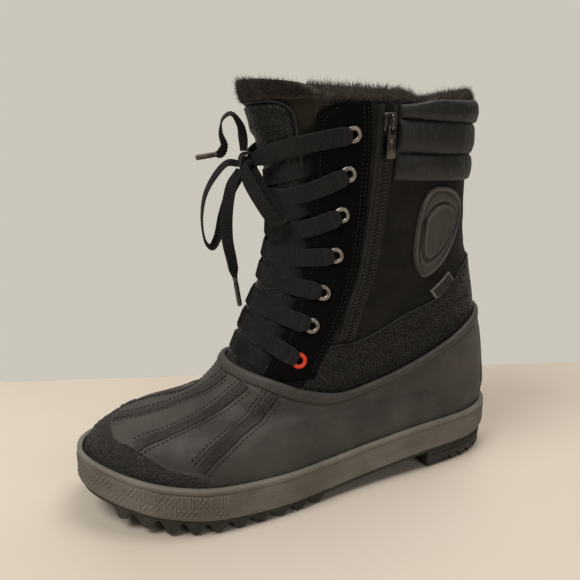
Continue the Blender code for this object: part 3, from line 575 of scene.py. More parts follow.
def round_cord(shape, path, out, sides, across, thick, swell=1.0):
    """A round or oval cord along a path, its thickness standing up along `out`."""
    turn = np.arange(sides) * TAU / sides
    profile = stacked(np.cos(turn) * across, np.sin(turn) * thick)
    side, face = frames_along(path, out)
    sweep(shape, path, side, face, profile, swell, swell)


def bead():
    """A small capsule, one long along its first axis, as points and faces."""
    turn = np.arange(6) * TAU / 6
    rings = [(-0.5, 0.25), (-0.36, 0.78), (0.0, 1.0), (0.36, 0.78), (0.5, 0.25)]
    points = [(a, 0.5 * r * math.cos(t), 0.5 * r * math.sin(t)) for a, r in rings for t in turn]
    corner = [(6 * k, j, (j + 1) % 6) for k in range(4) for j in range(6)]
    quads = [(k + j, k + n, k + 6 + n, k + 6 + j) for k, j, n in corner]
    ends = [[(0, 5, 4, 3), (0, 3, 2, 1)], [(24, 25, 26, 27), (24, 27, 28, 29)]]
    return np.array(points), [np.array(part) for part in (quads, *ends)]


def stitch_row(shape, path, out, pitch, length, wide, sink=0.0):
    """Stitches along a path on a surface whose normals are `out`."""
    run = run_along(path)
    count = max(2, int(run[-1] / pitch))
    at = (np.arange(count) + 0.5) * run[-1] / count
    places = column_mix(at, run, path)
    normal = unit(column_mix(at, run, out))
    tangent = unit(column_mix(at + 0.4, run, path) - column_mix(at - 0.4, run, path))
    side = unit(np.cross(normal, tangent))
    sizes = np.tile([length, wide, wide], (count, 1))
    axes = np.stack([tangent, side, np.cross(tangent, side)], 1)
    shape.copies(*bead(), places - normal * sink, axes, sizes)


def on_side(points, spacing, offset, side="lateral"):
    """A smooth path on the boot's side through (x, z) points, with the normals there."""
    path = smooth_route(points, spacing)
    return raised(lambda off: side_point(path[:, 0], path[:, 1], off, side), offset)


def hair(shape, roots, out, length, wide, lean, seed):
    """Fine curved fibres that stand on the roots and lean with `lean`."""
    chance = np.random.default_rng(seed)
    count = len(roots)
    wander = chance.normal(0, 0.45, (count, 3))
    size = length * chance.uniform(0.55, 1.25, (count, 1))
    first = unit(out + wander * 0.7)
    bent = unit(first + wander[:, [2, 0, 1]] * 0.9 + np.asarray(lean, float))
    side = unit(np.cross(first, chance.normal(0, 1, (count, 3)))) * wide / 2
    middle = roots + first * size * 0.5
    tip = middle + bent * size * 0.5
    grid = np.stack([roots - side, roots + side, middle + side * 0.8, middle - side * 0.8, tip], 1)
    index = shape.add_points(grid)
    shape.add_faces(index[:, [0, 1, 2, 3]])
    shape.add_faces(index[:, [3, 2, 4]])


# Finishes -----------------------------


CAP = "toe_cap"
RUBBER_TOOTH = 1500.0
LEATHER_DUST = (0.1, 0.095, 0.09)
LACE_RIB = 0.0013


class Tree:
    """Adds nodes to one node tree and links them."""

    def __init__(self, tree):
        self.tree = tree

    def node(self, kind, inputs=None, **settings):
        made = self.tree.nodes.new("ShaderNode" + kind)
        for key, value in settings.items():
            setattr(made, key, value)
        for key, value in (inputs or {}).items():
            self.feed(made.inputs[key], value)
        return made

    def feed(self, socket, value):
        if isinstance(value, bpy.types.NodeSocket):
            self.tree.links.new(value, socket)
        elif hasattr(socket.default_value, "__len__") and not hasattr(value, "__len__"):
            socket.default_value = (value,) * len(socket.default_value)
        elif hasattr(value, "__len__") and len(value) == 3 and len(socket.default_value) == 4:
            socket.default_value = (*value, 1.0)
        else:
            socket.default_value = value

    def math(self, operation, a, b=0.0, c=0.0):
        return self.node("Math", {0: a, 1: b, 2: c}, operation=operation).outputs[0]

    def times(self, a, b):
        return self.math("MULTIPLY", a, b)

    def times_plus(self, a, b, c):
        return self.math("MULTIPLY_ADD", a, b, c)

    def span(self, value, low, high, to_low=0.0, to_high=1.0):
        """The value mapped from one span to another, held at its ends."""
        inputs = {0: value, 1: low, 2: high, 3: to_low, 4: to_high}
        return self.node("MapRange", inputs, interpolation_type="SMOOTHSTEP").outputs[0]

    def blend(self, share, first, second):
        return self.node("Mix", {0: share, 6: first, 7: second}, data_type="RGBA").outputs[2]

    def noise(self, where, scale, detail=3.0, rough=0.5, kind="Fac"):
        inputs = {"Vector": where, "Scale": scale, "Detail": detail, "Roughness": rough}
        return self.node("TexNoise", inputs).outputs[kind]

    def cells(self, where, scale, feature="F1"):
        return self.node("TexVoronoi", {"Vector": where, "Scale": scale}, feature=feature).outputs[0]

    def lay(self):
        return self.node("UVMap", uv_map=LAY).outputs[0]

    def parts(self, vector):
        return self.node("SeparateXYZ", {0: vector}).outputs

    def use(self, group, **inputs):
        """Places a shared effect with its own values."""
        made = self.node("Group")
        made.node_tree = bpy.data.node_groups[group]
        for key, value in inputs.items():
            self.feed(made.inputs[key], value)
        return made.outputs


class Effect(Tree):
    """A shared node group with named sockets; an input whose value is None is a vector."""

    def __init__(self, name, inputs, outputs):
        super().__init__(bpy.data.node_groups.new(name, "ShaderNodeTree"))
        for socket, value in inputs.items():
            kind = "NodeSocketVector" if value is None else "NodeSocketFloat"
            made = self.tree.interface.new_socket(name=socket, in_out="INPUT", socket_type=kind)
            if value is not None:
                made.default_value = value
        for socket in outputs:
            kind = "NodeSocketFloat"
            self.tree.interface.new_socket(name=socket, in_out="OUTPUT", socket_type=kind)
        self.given = self.tree.nodes.new("NodeGroupInput").outputs
        self.out = self.tree.nodes.new("NodeGroupOutput").inputs


def effect_dust():
    """Dust and chalky marks: a mask that is stronger on faces that look up."""
    work = Effect("settled dust", {"Where": None, "Amount": 0.5, "Size": 40.0}, ["Mask", "Specks"])
    where, amount, size = work.given["Where"], work.given["Amount"], work.given["Size"]
    up = work.parts(work.node("NewGeometry").outputs["Normal"])[2]
    cloud = work.noise(where, size, 5.0, 0.62)
    fine = work.noise(where, work.times(size, 9.0), 3.0, 0.7)
    shown = work.span(work.times_plus(fine, 0.45, cloud), 0.55, 0.95)
    lift = work.span(up, -0.4, 0.9, 0.35, 1.0)
    work.feed(work.out["Mask"], work.times(work.times(shown, lift), amount))
    dots = work.cells(where, work.times(size, 14.0))
    rare = work.noise(where, work.times(size, 3.0), 1.0)
    dot = work.span(dots, 0.04, 0.13, 1.0, 0.0)
    work.feed(work.out["Specks"], work.times(dot, work.span(rare, 0.55, 0.68)))


def effect_wear():
    """Rubbed edges: a mask on the outward edges of a piece, broken up by noise."""
    work = Effect("rubbed edges", {"Where": None, "Start": 0.52, "Amount": 1.0}, ["Mask"])
    edge = work.node("NewGeometry").outputs["Pointiness"]
    broken = work.times_plus(work.noise(work.given["Where"], 160.0, 4.0), 0.06, edge)
    mask = work.span(work.math("SUBTRACT", broken, work.given["Start"]), 0.03, 0.1)
    work.feed(work.out["Mask"], work.times(mask, work.given["Amount"]))


def effect_pebble():
    """Leather grain: small rounded cells with creases between them."""
    sockets = {"Where": None, "Size": 700.0, "Bend": 0.35}
    work = Effect("pebbled grain", sockets, ["Height", "Crevice"])
    where, size = work.given["Where"], work.given["Size"]
    shift = work.noise(where, work.times(size, 0.3), 2.0, 0.5, "Color")
    push = work.node("VectorMath", {0: shift, "Scale": 0.0012}, operation="SCALE").outputs[0]
    moved = work.node("VectorMath", {0: where, 1: push}, operation="ADD").outputs[0]
    gap = work.cells(moved, size, "DISTANCE_TO_EDGE")
    # The Crevice mask marks the creases between the cells; the leather paints them dark as painted
    # shade and makes them rougher.
    work.feed(work.out["Crevice"], work.span(gap, 0.02, 0.2, 1.0, 0.0))
    dome = work.math("POWER", work.span(gap, 0.0, 0.5), 0.6)
    slow = work.noise(where, work.times(size, 0.12), 2.0)
    work.feed(work.out["Height"], work.times_plus(slow, work.given["Bend"], dome))


def effect_twill():
    """A woven cloth: fine diagonal ribs of crossed threads over a flat layout in metres."""
    sockets = {"Layout": None, "Threads": 1500.0, "Slant": 1.0}
    work = Effect("woven twill", sockets, ["Height", "Thread"])
    spread, threads = work.given["Layout"], work.given["Threads"]
    parts = work.parts(spread)
    across = work.times(parts[0], threads)
    up = work.times(parts[1], threads)
    slanted = work.times_plus(up, work.given["Slant"], across)
    rib = work.math("SINE", work.times(slanted, math.pi))
    weft = work.math("SINE", work.times(up, TAU))
    warp = work.math("SINE", work.times(across, TAU))
    body = work.times_plus(work.times(weft, warp), 0.3, rib)
    fuzz = work.noise(spread, 2600.0, 3.0, 0.7)
    height = work.times_plus(fuzz, 0.7, work.times_plus(body, 0.38, 0.3))
    work.feed(work.out["Height"], height)
    work.feed(work.out["Thread"], work.span(height, 0.3, 1.1))


def effect_crumple():
    """Crumpled skin: rounded lumps with sharp winding creases between them."""
    work = Effect("crumpled skin", {"Where": None, "Size": 300.0}, ["Height"])
    lumps = work.noise(work.given["Where"], work.given["Size"], 3.0, 0.55)
    ridge = work.math("ABSOLUTE", work.math("SUBTRACT", lumps, 0.5))
    work.feed(work.out["Height"], work.math("POWER", work.span(ridge, 0.0, 0.14), 0.6))


def effect_grit():
    """The fine tooth of moulded rubber, with soft mottling."""
    work = Effect("rubber tooth", {"Where": None, "Size": 1500.0}, ["Height", "Mottle"])
    where, size = work.given["Where"], work.given["Size"]
    work.feed(work.out["Height"], work.noise(where, size, 3.0, 0.6))
    slow = work.noise(where, work.times(size, 0.022), 5.0, 0.6)
    work.feed(work.out["Mottle"], work.span(slow, 0.32, 0.7))


EFFECTS = (effect_dust, effect_wear, effect_pebble, effect_twill, effect_crumple, effect_grit)


def shade(colour, factor):
    """A colour made lighter or darker."""
    return tuple(min(1.0, part * factor) for part in colour)


class Finish(Tree):
    """One material: its shader's sockets, and the colour laid on so far."""

    def __init__(self, name, colour):
        material = FINISHES[name] = bpy.data.materials.new(name)
        material.use_nodes = True
        super().__init__(material.node_tree)
        self.shader = material.node_tree.nodes["Principled BSDF"].inputs
        self.space = None
        self.colour = self.base = tuple(colour)
        self.skin = None

    @property
    def here(self):
        """The piece's own space, in metres."""
        if self.space is None:
            self.space = self.node("TexCoord").outputs["Object"]
        return self.space

    def stretched(self, size):
        """The piece's own space, squeezed by a factor along each axis."""
        return self.node("Mapping", {"Vector": self.here, "Scale": size}).outputs[0]

    def dust(self, amount, size):
        return self.use("settled dust", Where=self.here, Amount=amount, Size=size)

    def wear(self, start, amount):
        return self.use("rubbed edges", Where=self.here, Start=start, Amount=amount)["Mask"]

    def weave(self, threads, slant=0.0):
        return self.use("woven twill", Layout=self.lay(), Threads=threads, Slant=slant)

    def tones(self, mask, low, high):
        """Starts the colour as two shades of it, by a mask."""
        self.base = self.blend(mask, shade(self.colour, low), shade(self.colour, high))

    def coat(self, mask, colour, share=None):
        """Lays a colour over the finish by a mask, or by a share of it."""
        if share is not None:
            mask = self.times(mask, share)
        self.base = self.blend(mask, self.base, colour)

    def paint(self, rough, specular=0.5, sheen=0.0, sheen_rough=0.5):
        """Feeds the colour and the roughness to the shader and sets its plain values."""
        self.feed(self.shader["Base Color"], self.base)
        self.feed(self.shader["Roughness"], rough)
        self.shader["Specular IOR Level"].default_value = specular
        self.shader["Sheen Weight"].default_value = sheen
        self.shader["Sheen Roughness"].default_value = sheen_rough

    def bump(self, height, depth):
        """Lays a bump of that depth in metres over the one before."""
        inputs = {"Height": height, "Distance": depth, "Strength": 1.0}
        if self.skin is not None:
            inputs["Normal"] = self.skin
        self.skin = self.node("Bump", inputs).outputs[0]
        self.feed(self.shader["Normal"], self.skin)


def rubber_finish(name, colour, dust, amount, rough, wear=0.35, capped=False):
    """Matt moulded rubber: mottled, dusty, pale on its rubbed edges, with scuffs."""
    work = Finish(name, colour)
    tooth = work.use("rubber tooth", Where=work.here, Size=RUBBER_TOOTH)
    settled = work.dust(amount, 36.0)
    rubbed = work.wear(0.5, wear)
    work.tones(tooth["Mottle"], 0.78, 1.2)
    work.coat(settled["Mask"], dust)
    streak = work.noise(work.stretched((0.35, 1.0, 0.25)), 300.0, 4.0, 0.6)
    work.coat(work.span(streak, 0.62, 0.74), shade(dust, 0.8), 0.35)
    work.coat(settled["Specks"], shade(dust, 1.6), 0.5)
    work.coat(rubbed, shade(colour, 2.2))
    worn = work.times_plus(settled["Mask"], 0.25, rough)
    work.paint(work.times_plus(tooth["Mottle"], -0.06, worn), 0.35)
    work.bump(tooth["Height"], 0.00006)
    if capped:
        crumple_cap(work)


def crumple_cap(work):
    """Crumpled rubber over the toe cap, where the piece's own point values say so; its creases are
    painted dark as painted shade.
    """
    plain, colour = work.base, work.colour
    cap = work.span(work.node("Attribute", attribute_name=CAP).outputs["Fac"], 0.35, 0.65)
    coarse = work.use("crumpled skin", Where=work.stretched((1.5, 0.7, 1.5)), Size=230.0)
    fine = work.use("crumpled skin", Where=work.here, Size=520.0)
    creased = work.times_plus(fine["Height"], 0.45, coarse["Height"])
    work.coat(0.6, shade(colour, 0.6))
    # Painted shade: darker in the creases of the crumpled rubber.
    work.coat(work.span(creased, 0.1, 0.75, 0.85, 0.0), shade(colour, 0.22))
    work.feed(work.shader["Base Color"], work.blend(cap, plain, work.base))
    work.bump(work.times(creased, cap), 0.0008)


def badge_finish(name, colour, dust):
    """Smoother moulded rubber with pale rubbed edges, which on the badge's raised rim are also a
    painted highlight.
    """
    work = Finish(name, colour)
    tooth = work.use("rubber tooth", Where=work.here, Size=2600.0)
    rubbed = work.wear(0.48, 0.9)
    settled = work.dust(0.3, 120.0)
    work.tones(tooth["Mottle"], 0.85, 1.12)
    work.coat(settled["Mask"], dust)
    # Pale edges: rubbed wear, and on the raised rim a painted highlight.
    work.coat(rubbed, shade(colour, 2.3))
    work.paint(work.times_plus(settled["Mask"], 0.3, 0.42))
    work.bump(tooth["Height"], 0.00003)


def leather_finish(name, colour, size, rough, depth, dusty=0.05):
    """Pebbled coated leather: glossy grain tops, creases painted dark as painted shade, a little dust.
    """
    work = Finish(name, colour)
    grain = work.use("pebbled grain", Where=work.here, Size=size, Bend=0.5)
    settled = work.dust(dusty, 60.0)
    rubbed = work.wear(0.52, 0.4)
    # Painted shade: the grain's creases are painted down to 0.35 of the colour.
    work.tones(grain["Crevice"], 1.0, 0.35)
    work.coat(settled["Mask"], LEATHER_DUST)
    work.coat(settled["Specks"], shade(LEATHER_DUST, 1.5), 0.12)
    work.coat(rubbed, shade(colour, 3.0))
    gloss = work.times_plus(grain["Crevice"], 0.5, rough)
    work.paint(work.times_plus(settled["Mask"], 0.4, gloss), 0.4)
    work.bump(work.noise(work.here, 90.0, 3.0), 0.0006)
    work.bump(grain["Height"], depth)


def cloth_finish(name, colour, threads, lint=0.3):
    """Woven cloth: ribs of thread, uneven dye, lint, with a soft sheen."""
    work = Finish(name, colour)
    weave = work.weave(threads, 1.0)
    settled = work.dust(lint, 70.0)
    dye = work.span(work.noise(work.here, 35.0, 4.0, 0.6), 0.3, 0.7)
    work.tones(weave["Thread"], 0.35, 1.5)
    work.coat(dye, shade(colour, 1.5), 0.5)
    work.coat(settled["Mask"], (0.1, 0.09, 0.08), 0.45)
    work.coat(settled["Specks"], (0.3, 0.28, 0.26), lint)
    work.paint(work.times_plus(weave["Thread"], -0.1, 0.85), 0.2, 0.03, 0.45)
    work.bump(weave["Height"], 0.00012)


def fuzz_finish(name, colour, size, depth, sheen=0.03):
    """Napped cloth: suede, felt or the backing of fleece."""
    work = Finish(name, colour)
    nap = work.noise(work.here, size, 4.0, 0.7)
    clump = work.noise(work.here, size * 0.12, 3.0, 0.6)
    settled = work.dust(0.35, 80.0)
    work.tones(work.span(nap, 0.3, 0.7), 0.45, 1.5)
    work.coat(work.span(clump, 0.4, 0.7), shade(colour, 1.7), 0.5)
    work.coat(settled["Specks"], (0.25, 0.24, 0.22), 0.4)
    work.paint(work.times_plus(nap, -0.08, 0.95), 0.1, sheen)
    work.bump(nap, depth)


def finish_satin(colour):
    """The quilted collar's satin: a fine plain weave, glossy, with fine pulls across it."""
    work = Finish("quilted_satin", colour)
    weave = work.weave(2400.0)
    settled = work.dust(0.05, 60.0)
    pulls = work.noise(work.stretched((1.0, 1.0, 0.22)), 520.0, 3.0, 0.55)
    work.tones(weave["Thread"], 0.7, 1.35)
    work.coat(settled["Mask"], (0.085, 0.078, 0.068))
    work.coat(settled["Specks"], (0.3, 0.28, 0.25), 0.3)
    work.paint(work.span(pulls, 0.3, 0.7, 0.46, 0.62), 0.6)
    work.shader["Anisotropic"].default_value = 0.3
    work.bump(pulls, 0.0003)
    work.bump(weave["Height"], 0.00005)


def finish_lace(colour):
    """The laces' webbing: a flat weave between the ribs that the mesh has, frayed a little, its ribs
    painted lighter as painted highlights.
    """
    work = Finish("black_lace", colour)
    weave = work.weave(1700.0)
    rib = work.math("COSINE", work.times(work.parts(work.lay())[1], TAU / LACE_RIB))
    # Painted highlight: lighter along the ribs, over the weave's threads.
    light = work.times_plus(weave["Thread"], 0.35, work.times(rib, 0.5))
    work.tones(work.span(light, -0.4, 0.75), 0.25, 1.8)
    worn = work.span(work.noise(work.here, 60.0, 4.0, 0.6), 0.45, 0.75)
    work.coat(worn, shade(colour, 2.4), 0.35)
    work.coat(work.dust(0.3, 90.0)["Specks"], (0.3, 0.29, 0.27), 0.4)
    work.paint(work.times_plus(weave["Thread"], -0.12, 0.86), 0.3, 0.05)
    work.bump(weave["Height"], 0.00005)


def metal_finish(name, colour, shine):
    """Worn plated metal: spotted, bright where it is rubbed."""
    work = Finish(name, colour)
    spots = work.noise(work.here, 900.0, 5.0, 0.7)
    rubbed = work.wear(0.5, 0.8)
    work.tones(work.span(spots, 0.35, 0.65), 0.45, 1.0)
    work.coat(rubbed, shade(colour, 1.9))
    work.paint(work.span(spots, 0.3, 0.7, shine + 0.2, shine))
    work.shader["Metallic"].default_value = 1.0
    work.bump(spots, 0.00004)


def finish_enamel(colour):
    """The lowest eyelets' enamel, chipped down to bare metal."""
    work = Finish("red_enamel", colour)
    chips = work.noise(work.here, 1300.0, 4.0, 0.65)
    bare = work.span(chips, 0.66, 0.7)
    work.tones(work.span(chips, 0.3, 0.6), 0.75, 1.0)
    work.coat(bare, (0.2, 0.18, 0.17))
    work.paint(work.span(chips, 0.3, 0.7, 0.32, 0.5))
    work.feed(work.shader["Metallic"], work.times(bare, 0.9))
    work.bump(chips, 0.00004)


def finish_label():
    """The woven label: a black ground in a pale border, its threads showing."""
    work = Finish("label_weave", (0.02, 0.019, 0.0185))
    weave = work.weave(1500.0)
    parts = work.parts(work.lay())
    across = work.math("ABSOLUTE", parts[0])
    up = work.math("ABSOLUTE", work.math("SUBTRACT", parts[1], 0.0042))
    edge = work.math("MAXIMUM", work.span(across, 0.0081, 0.0084), work.span(up, 0.003, 0.0033))
    work.coat(edge, (0.3, 0.285, 0.265))
    threads = work.span(weave["Thread"], 0.0, 0.7)
    work.base = work.blend(threads, (0.03, 0.03, 0.0288), work.base)
    work.paint(0.6, 0.3)
    work.bump(weave["Height"], 0.0001)


def finish_plastic():
    """The zip's black coil, slightly shiny, with pale dust between its teeth."""
    work = Finish("zip_plastic", (0.006, 0.006, 0.0064))
    work.coat(work.dust(0.15, 150.0)["Mask"], (0.05, 0.048, 0.045))
    fine = work.noise(work.here, 1200.0, 3.0)
    work.paint(work.span(fine, 0.3, 0.7, 0.26, 0.45))
    work.bump(fine, 0.00003)


def finish_thread(name, colour):
    """Twisted sewing thread."""
    work = Finish(name, colour)
    twist = work.noise(work.here, 2400.0, 2.0, 0.6)
    work.tones(work.span(twist, 0.35, 0.65), 0.5, 1.3)
    work.paint(work.span(twist, 0.3, 0.7, 0.6, 0.8), 0.3)
    work.bump(twist, 0.00006)


def finish_stage():
    """The pale studio floor, very slightly uneven in tone."""
    work = Finish("studio_floor", (0.74, 0.655, 0.56))
    cloud = work.noise(work.here, 3.0, 3.0, 0.5)
    work.coat(work.span(cloud, 0.3, 0.7), (0.8, 0.72, 0.63))
    work.paint(work.span(cloud, 0.3, 0.7, 0.42, 0.5))


def all_finishes(colours):
    for effect in EFFECTS:
        effect()
    dust = tuple(colours.dust)
    rubber_finish("shell_rubber", colours.shell, dust, 0.3, 0.56, capped=True)
    rubber_finish("shell_ribs", shade(colours.shell, 0.7), dust, 0.3, 0.5, wear=0.7)
    rubber_finish("grey_rubber", colours.band, shade(dust, 1.5), 0.4, 0.62, wear=0.2)
    rubber_finish("black_rubber", colours.outsole, dust, 0.55, 0.7, wear=0.3)
    # Painted shade: a near-black copy of the shell rubber for the strips' dashes and edge lines.
    rubber_finish("shell_dash", shade(colours.shell, 0.22), dust, 0.1, 0.8, wear=0.0)
    badge_finish("badge_rubber", colours.badge, dust)
    # Painted shade: a darker copy of the badge rubber, with darker dust, for its recessed bed.
    badge_finish("badge_bed_shade", shade(colours.badge, 0.42), shade(dust, 0.5))
    leather_finish("black_leather", shade(colours.leather, 0.5), 460.0, 0.33, 0.00055)
    leather_finish("tongue_leather", shade(colours.leather, 0.5), 560.0, 0.36, 0.0004)
    leather_finish("vamp_leather", shade(colours.leather, 0.7), 800.0, 0.3, 0.0005)
    # Painted highlight: the piping's leather is a lighter copy of the leather, standing for the light
    # along its round edge.
    leather_finish("piping_leather", shade(colours.leather, 2.4), 1500.0, 0.42, 0.0001, 0.2)
    cloth_finish("black_cloth", colours.cloth, 1700.0)
    cloth_finish("zip_tape", shade(colours.cloth, 2.2), 1500.0, 0.25)
    cloth_finish("gusset_twill", (0.026, 0.0215, 0.0165), 1900.0)
    fuzz_finish("eyestay_suede", colours.suede, 1700.0, 0.00012, 0.0)
    fuzz_finish("black_fleece", colours.fleece, 800.0, 0.0007)
    fuzz_finish("fleece_fibre", shade(colours.fleece, 1.35), 500.0, 0.0001, 0.1)
    fuzz_finish("footbed_felt", (0.02, 0.019, 0.018), 900.0, 0.0003)
    finish_satin(colours.satin)
    finish_lace(colours.lace)
    metal_finish("worn_metal", colours.metal, 0.28)
    metal_finish("dark_nickel", shade(colours.metal, 0.27), 0.2)
    finish_enamel(colours.enamel)
    finish_label()
    finish_plastic()
    finish_thread("black_thread", (0.018, 0.018, 0.018))
    finish_thread("dull_thread", (0.03, 0.029, 0.027))
    finish_stage()


# Rubber -------------------------------

RIM_PROFILE = (
    (-0.7, -0.35), (-0.3, -0.6), (0.1, -0.3), (0.4, 0.7), (0.9, 1.1), (2, 1.3), (3.6, 1.35),
    (4.9, 1.2), (5.5, 0.75), (5.9, -0.1), (6, -1.3),
)
HEEL_STRIP = 0.962
CAP_HUB = 62.0
SHELL_ROWS = 73
SHELL_COLUMNS = 520
INSIDE_LEVELS = 14

# Soft folds, here and below: two ends, half width and depth; a ridge where that is below zero.
SHELL_FOLDS = (((-66, -49), (-50, -62), 4.5, 0.5), ((-40, -52), (-28, -60), 5, 0.4))

# The strips on the shell: places down the middle as an angle round the last and a height.
MIDDLE_STRIP = (
    (-8.2, 50.7), (-5.5, 52.5), (-3.2, 53.8), (-3, 54.9), (-3.9, 56.4), (-3.7, 58.2),
    (-1.8, 60.6), (1.9, 64.2), (5, 69), (7.6, 74.6), (9, 78.2),
)
OUTER_STRIP = (
    (29.8, 46.8), (31, 49.3), (32.2, 51.2), (32.5, 52.6), (31.2, 54), (28.4, 55.6), (26, 57.6),
    (24.8, 60.4), (24.2, 65), (24.6, 70.4), (25.6, 74.4), (26.1, 76.6),
)
SIDE_STRIP = (
    (52.3, 38.9), (54.3, 44.5), (55.5, 48.1), (55.7, 51), (54, 53.6), (49.6, 56.4),
    (44.9, 60.8), (43, 65.7), (42.1, 69.8), (41.6, 72.8),
)
# Name, width, middle line, and -1 where that line is the twin of an outer strip.
STRIPS = (
    ("centre", 5.6, MIDDLE_STRIP, 1),
    ("outer", 5.8, OUTER_STRIP, 1),
    ("side", 7.0, SIDE_STRIP, 1),
    ("inner", 5.8, OUTER_STRIP, -1),
    ("inside", 7.0, SIDE_STRIP, -1),
)
# Scale that lets angles round the last and heights be smoothed together.
TURN_SCALE = 50


def folded(relief, flat, folds, share=1.0, fading=False):
    """The relief with soft folds pressed into it, where asked fading towards their ends."""
    for start, end, wide, deep in folds:
        gap, along = from_line(flat, (start, end))
        fade = 0.35 + 0.65 * np.sin(math.pi * np.clip(along, 0.02, 0.98)) if fading else 1.0
        relief = relief - deep * hump(gap / wide) * fade * share
    return relief


def shell_relief(points, turn):
    """How far the shell's face stands off its plain form: toe cap, heel strip and soft dents."""
    x, y, z = points[..., 0], points[..., 1], points[..., 2]
    edge = read(TOE_CAP, "x", y)
    cover = soft((edge - x) / 0.9 + 0.5)
    flow = stacked(np.hypot(x + CAP_HUB, y * 1.15), np.arctan2(y, x + CAP_HUB) * CAP_HUB)
    flow = flow + stacked(noise(points, 7.0, 3), noise(points, 9.0, 4)) * 1.6
    first = 1 - np.abs(noise(flow, (2.3, 6.5), 5)) * 2.0
    second = 1 - np.abs(noise(flow, (1.5, 3.2), 6)) * 2.0
    rough = np.clip((edge - x - 1.0) / 12.0, 0, 1)
    wrinkles = (0.7 * first + 0.4 * second) * (0.3 + 0.7 * rough)
    relief = cover * (0.35 + wrinkles)
    relief -= 0.25 * hump((edge - x + 0.6) / 0.5) * (np.abs(y) < 52)
    relief += 0.75 * soft((chord_of(turn) - HEEL_STRIP) / 0.003 + 0.5)
    relief += 0.3 * noise(points, 34.0, 11) + 0.12 * noise(points, 13.0, 12)
    return folded(relief, stacked(x, -np.abs(z)), SHELL_FOLDS, y < 0)


def build_shell():
    """The rubber shell: wrinkled toe cap, heel strip, groove and raised rim."""
    turn = even_turns(SHELL_COLUMNS)
    chord = chord_of(turn)
    low, foot = tray_line(chord), rim_line(chord) - RIM_HEIGHT
    dense = np.linspace(0, 1, 140)[:, None]
    z = low * (1 - dense) + (foot - 1.1) * dense
    run = reaches(bare_point(turn + 0 * z, z))[1]
    t = np.linspace(0, 1, SHELL_ROWS)
    share = 0.6 * t + 0.4 * t * t
    heights = [np.interp(share * run[-1, c], run[:, c], z[:, c]) for c in range(SHELL_COLUMNS)]
    z = np.stack(heights, 1)
    turns = turn + 0 * z
    face = surface(turns, z, SHELL_FACE)
    grid = [surface(turns, z, SHELL_FACE + shell_relief(face, turns))]
    wave = 0.12 * noise(bare_point(turn, foot), 22.0, 21)
    for rise, out in RIM_PROFILE:
        grid.append(surface(turn, foot + rise, SHELL_FACE + out + wave * (out > 0.5))[None])
    for share in np.linspace(0.98, 0.0, INSIDE_LEVELS):
        level = low + (rim_line(chord) - low) * share
        grid.append(surface(turn, level, np.full(SHELL_COLUMNS, 2 * GAP))[None])
    shape = Shape()
    shape.grid(np.concatenate(grid), wrap=True, wrap_rows=True)
    skin = shape.piece("rubber_shell_skin", "shell_rubber", replaces=["rubber_shell"], sharp=60)
    cover = np.zeros(len(skin.data.vertices), np.float32)
    past = (read(TOE_CAP, "x", face[..., 1]) - face[..., 0]) / 3.0
    cover[: past.size] = np.clip(past + 0.5, 0, 1).ravel()
    skin.data.attributes.new(CAP, "FLOAT", "POINT").data.foreach_set("value", cover)


def landed(target, turn, z):
    """The angle and height at which the shell's face comes nearest to each target."""
    turn, z = turn + 0 * target[..., 0], z + 0 * target[..., 0]
    for _ in range(12):
        here = surface(turn, z, SHELL_FACE)
        by_turn = (surface(turn + 0.002, z, SHELL_FACE) - here) / 0.002
        by_z = (surface(turn, z + 0.05, SHELL_FACE) - here) / 0.05
        gap = target - here
        aa, bb, ab = (by_turn**2).sum(-1) * 1.02, (by_z**2).sum(-1) * 1.02, (by_turn * by_z).sum(-1)
        a, b = (gap * by_turn).sum(-1), (gap * by_z).sum(-1)
        square = aa * bb - ab * ab
        turn = turn + (a * bb - b * ab) / square
        z = z + (b * aa - a * ab) / square
    return turn, z


def on_shell(turn, z, height):
    """A point that stands `height` off the shell's finished face."""
    face = surface(turn, z, SHELL_FACE)
    return surface(turn, z, SHELL_FACE + shell_relief(face, turn) + height)


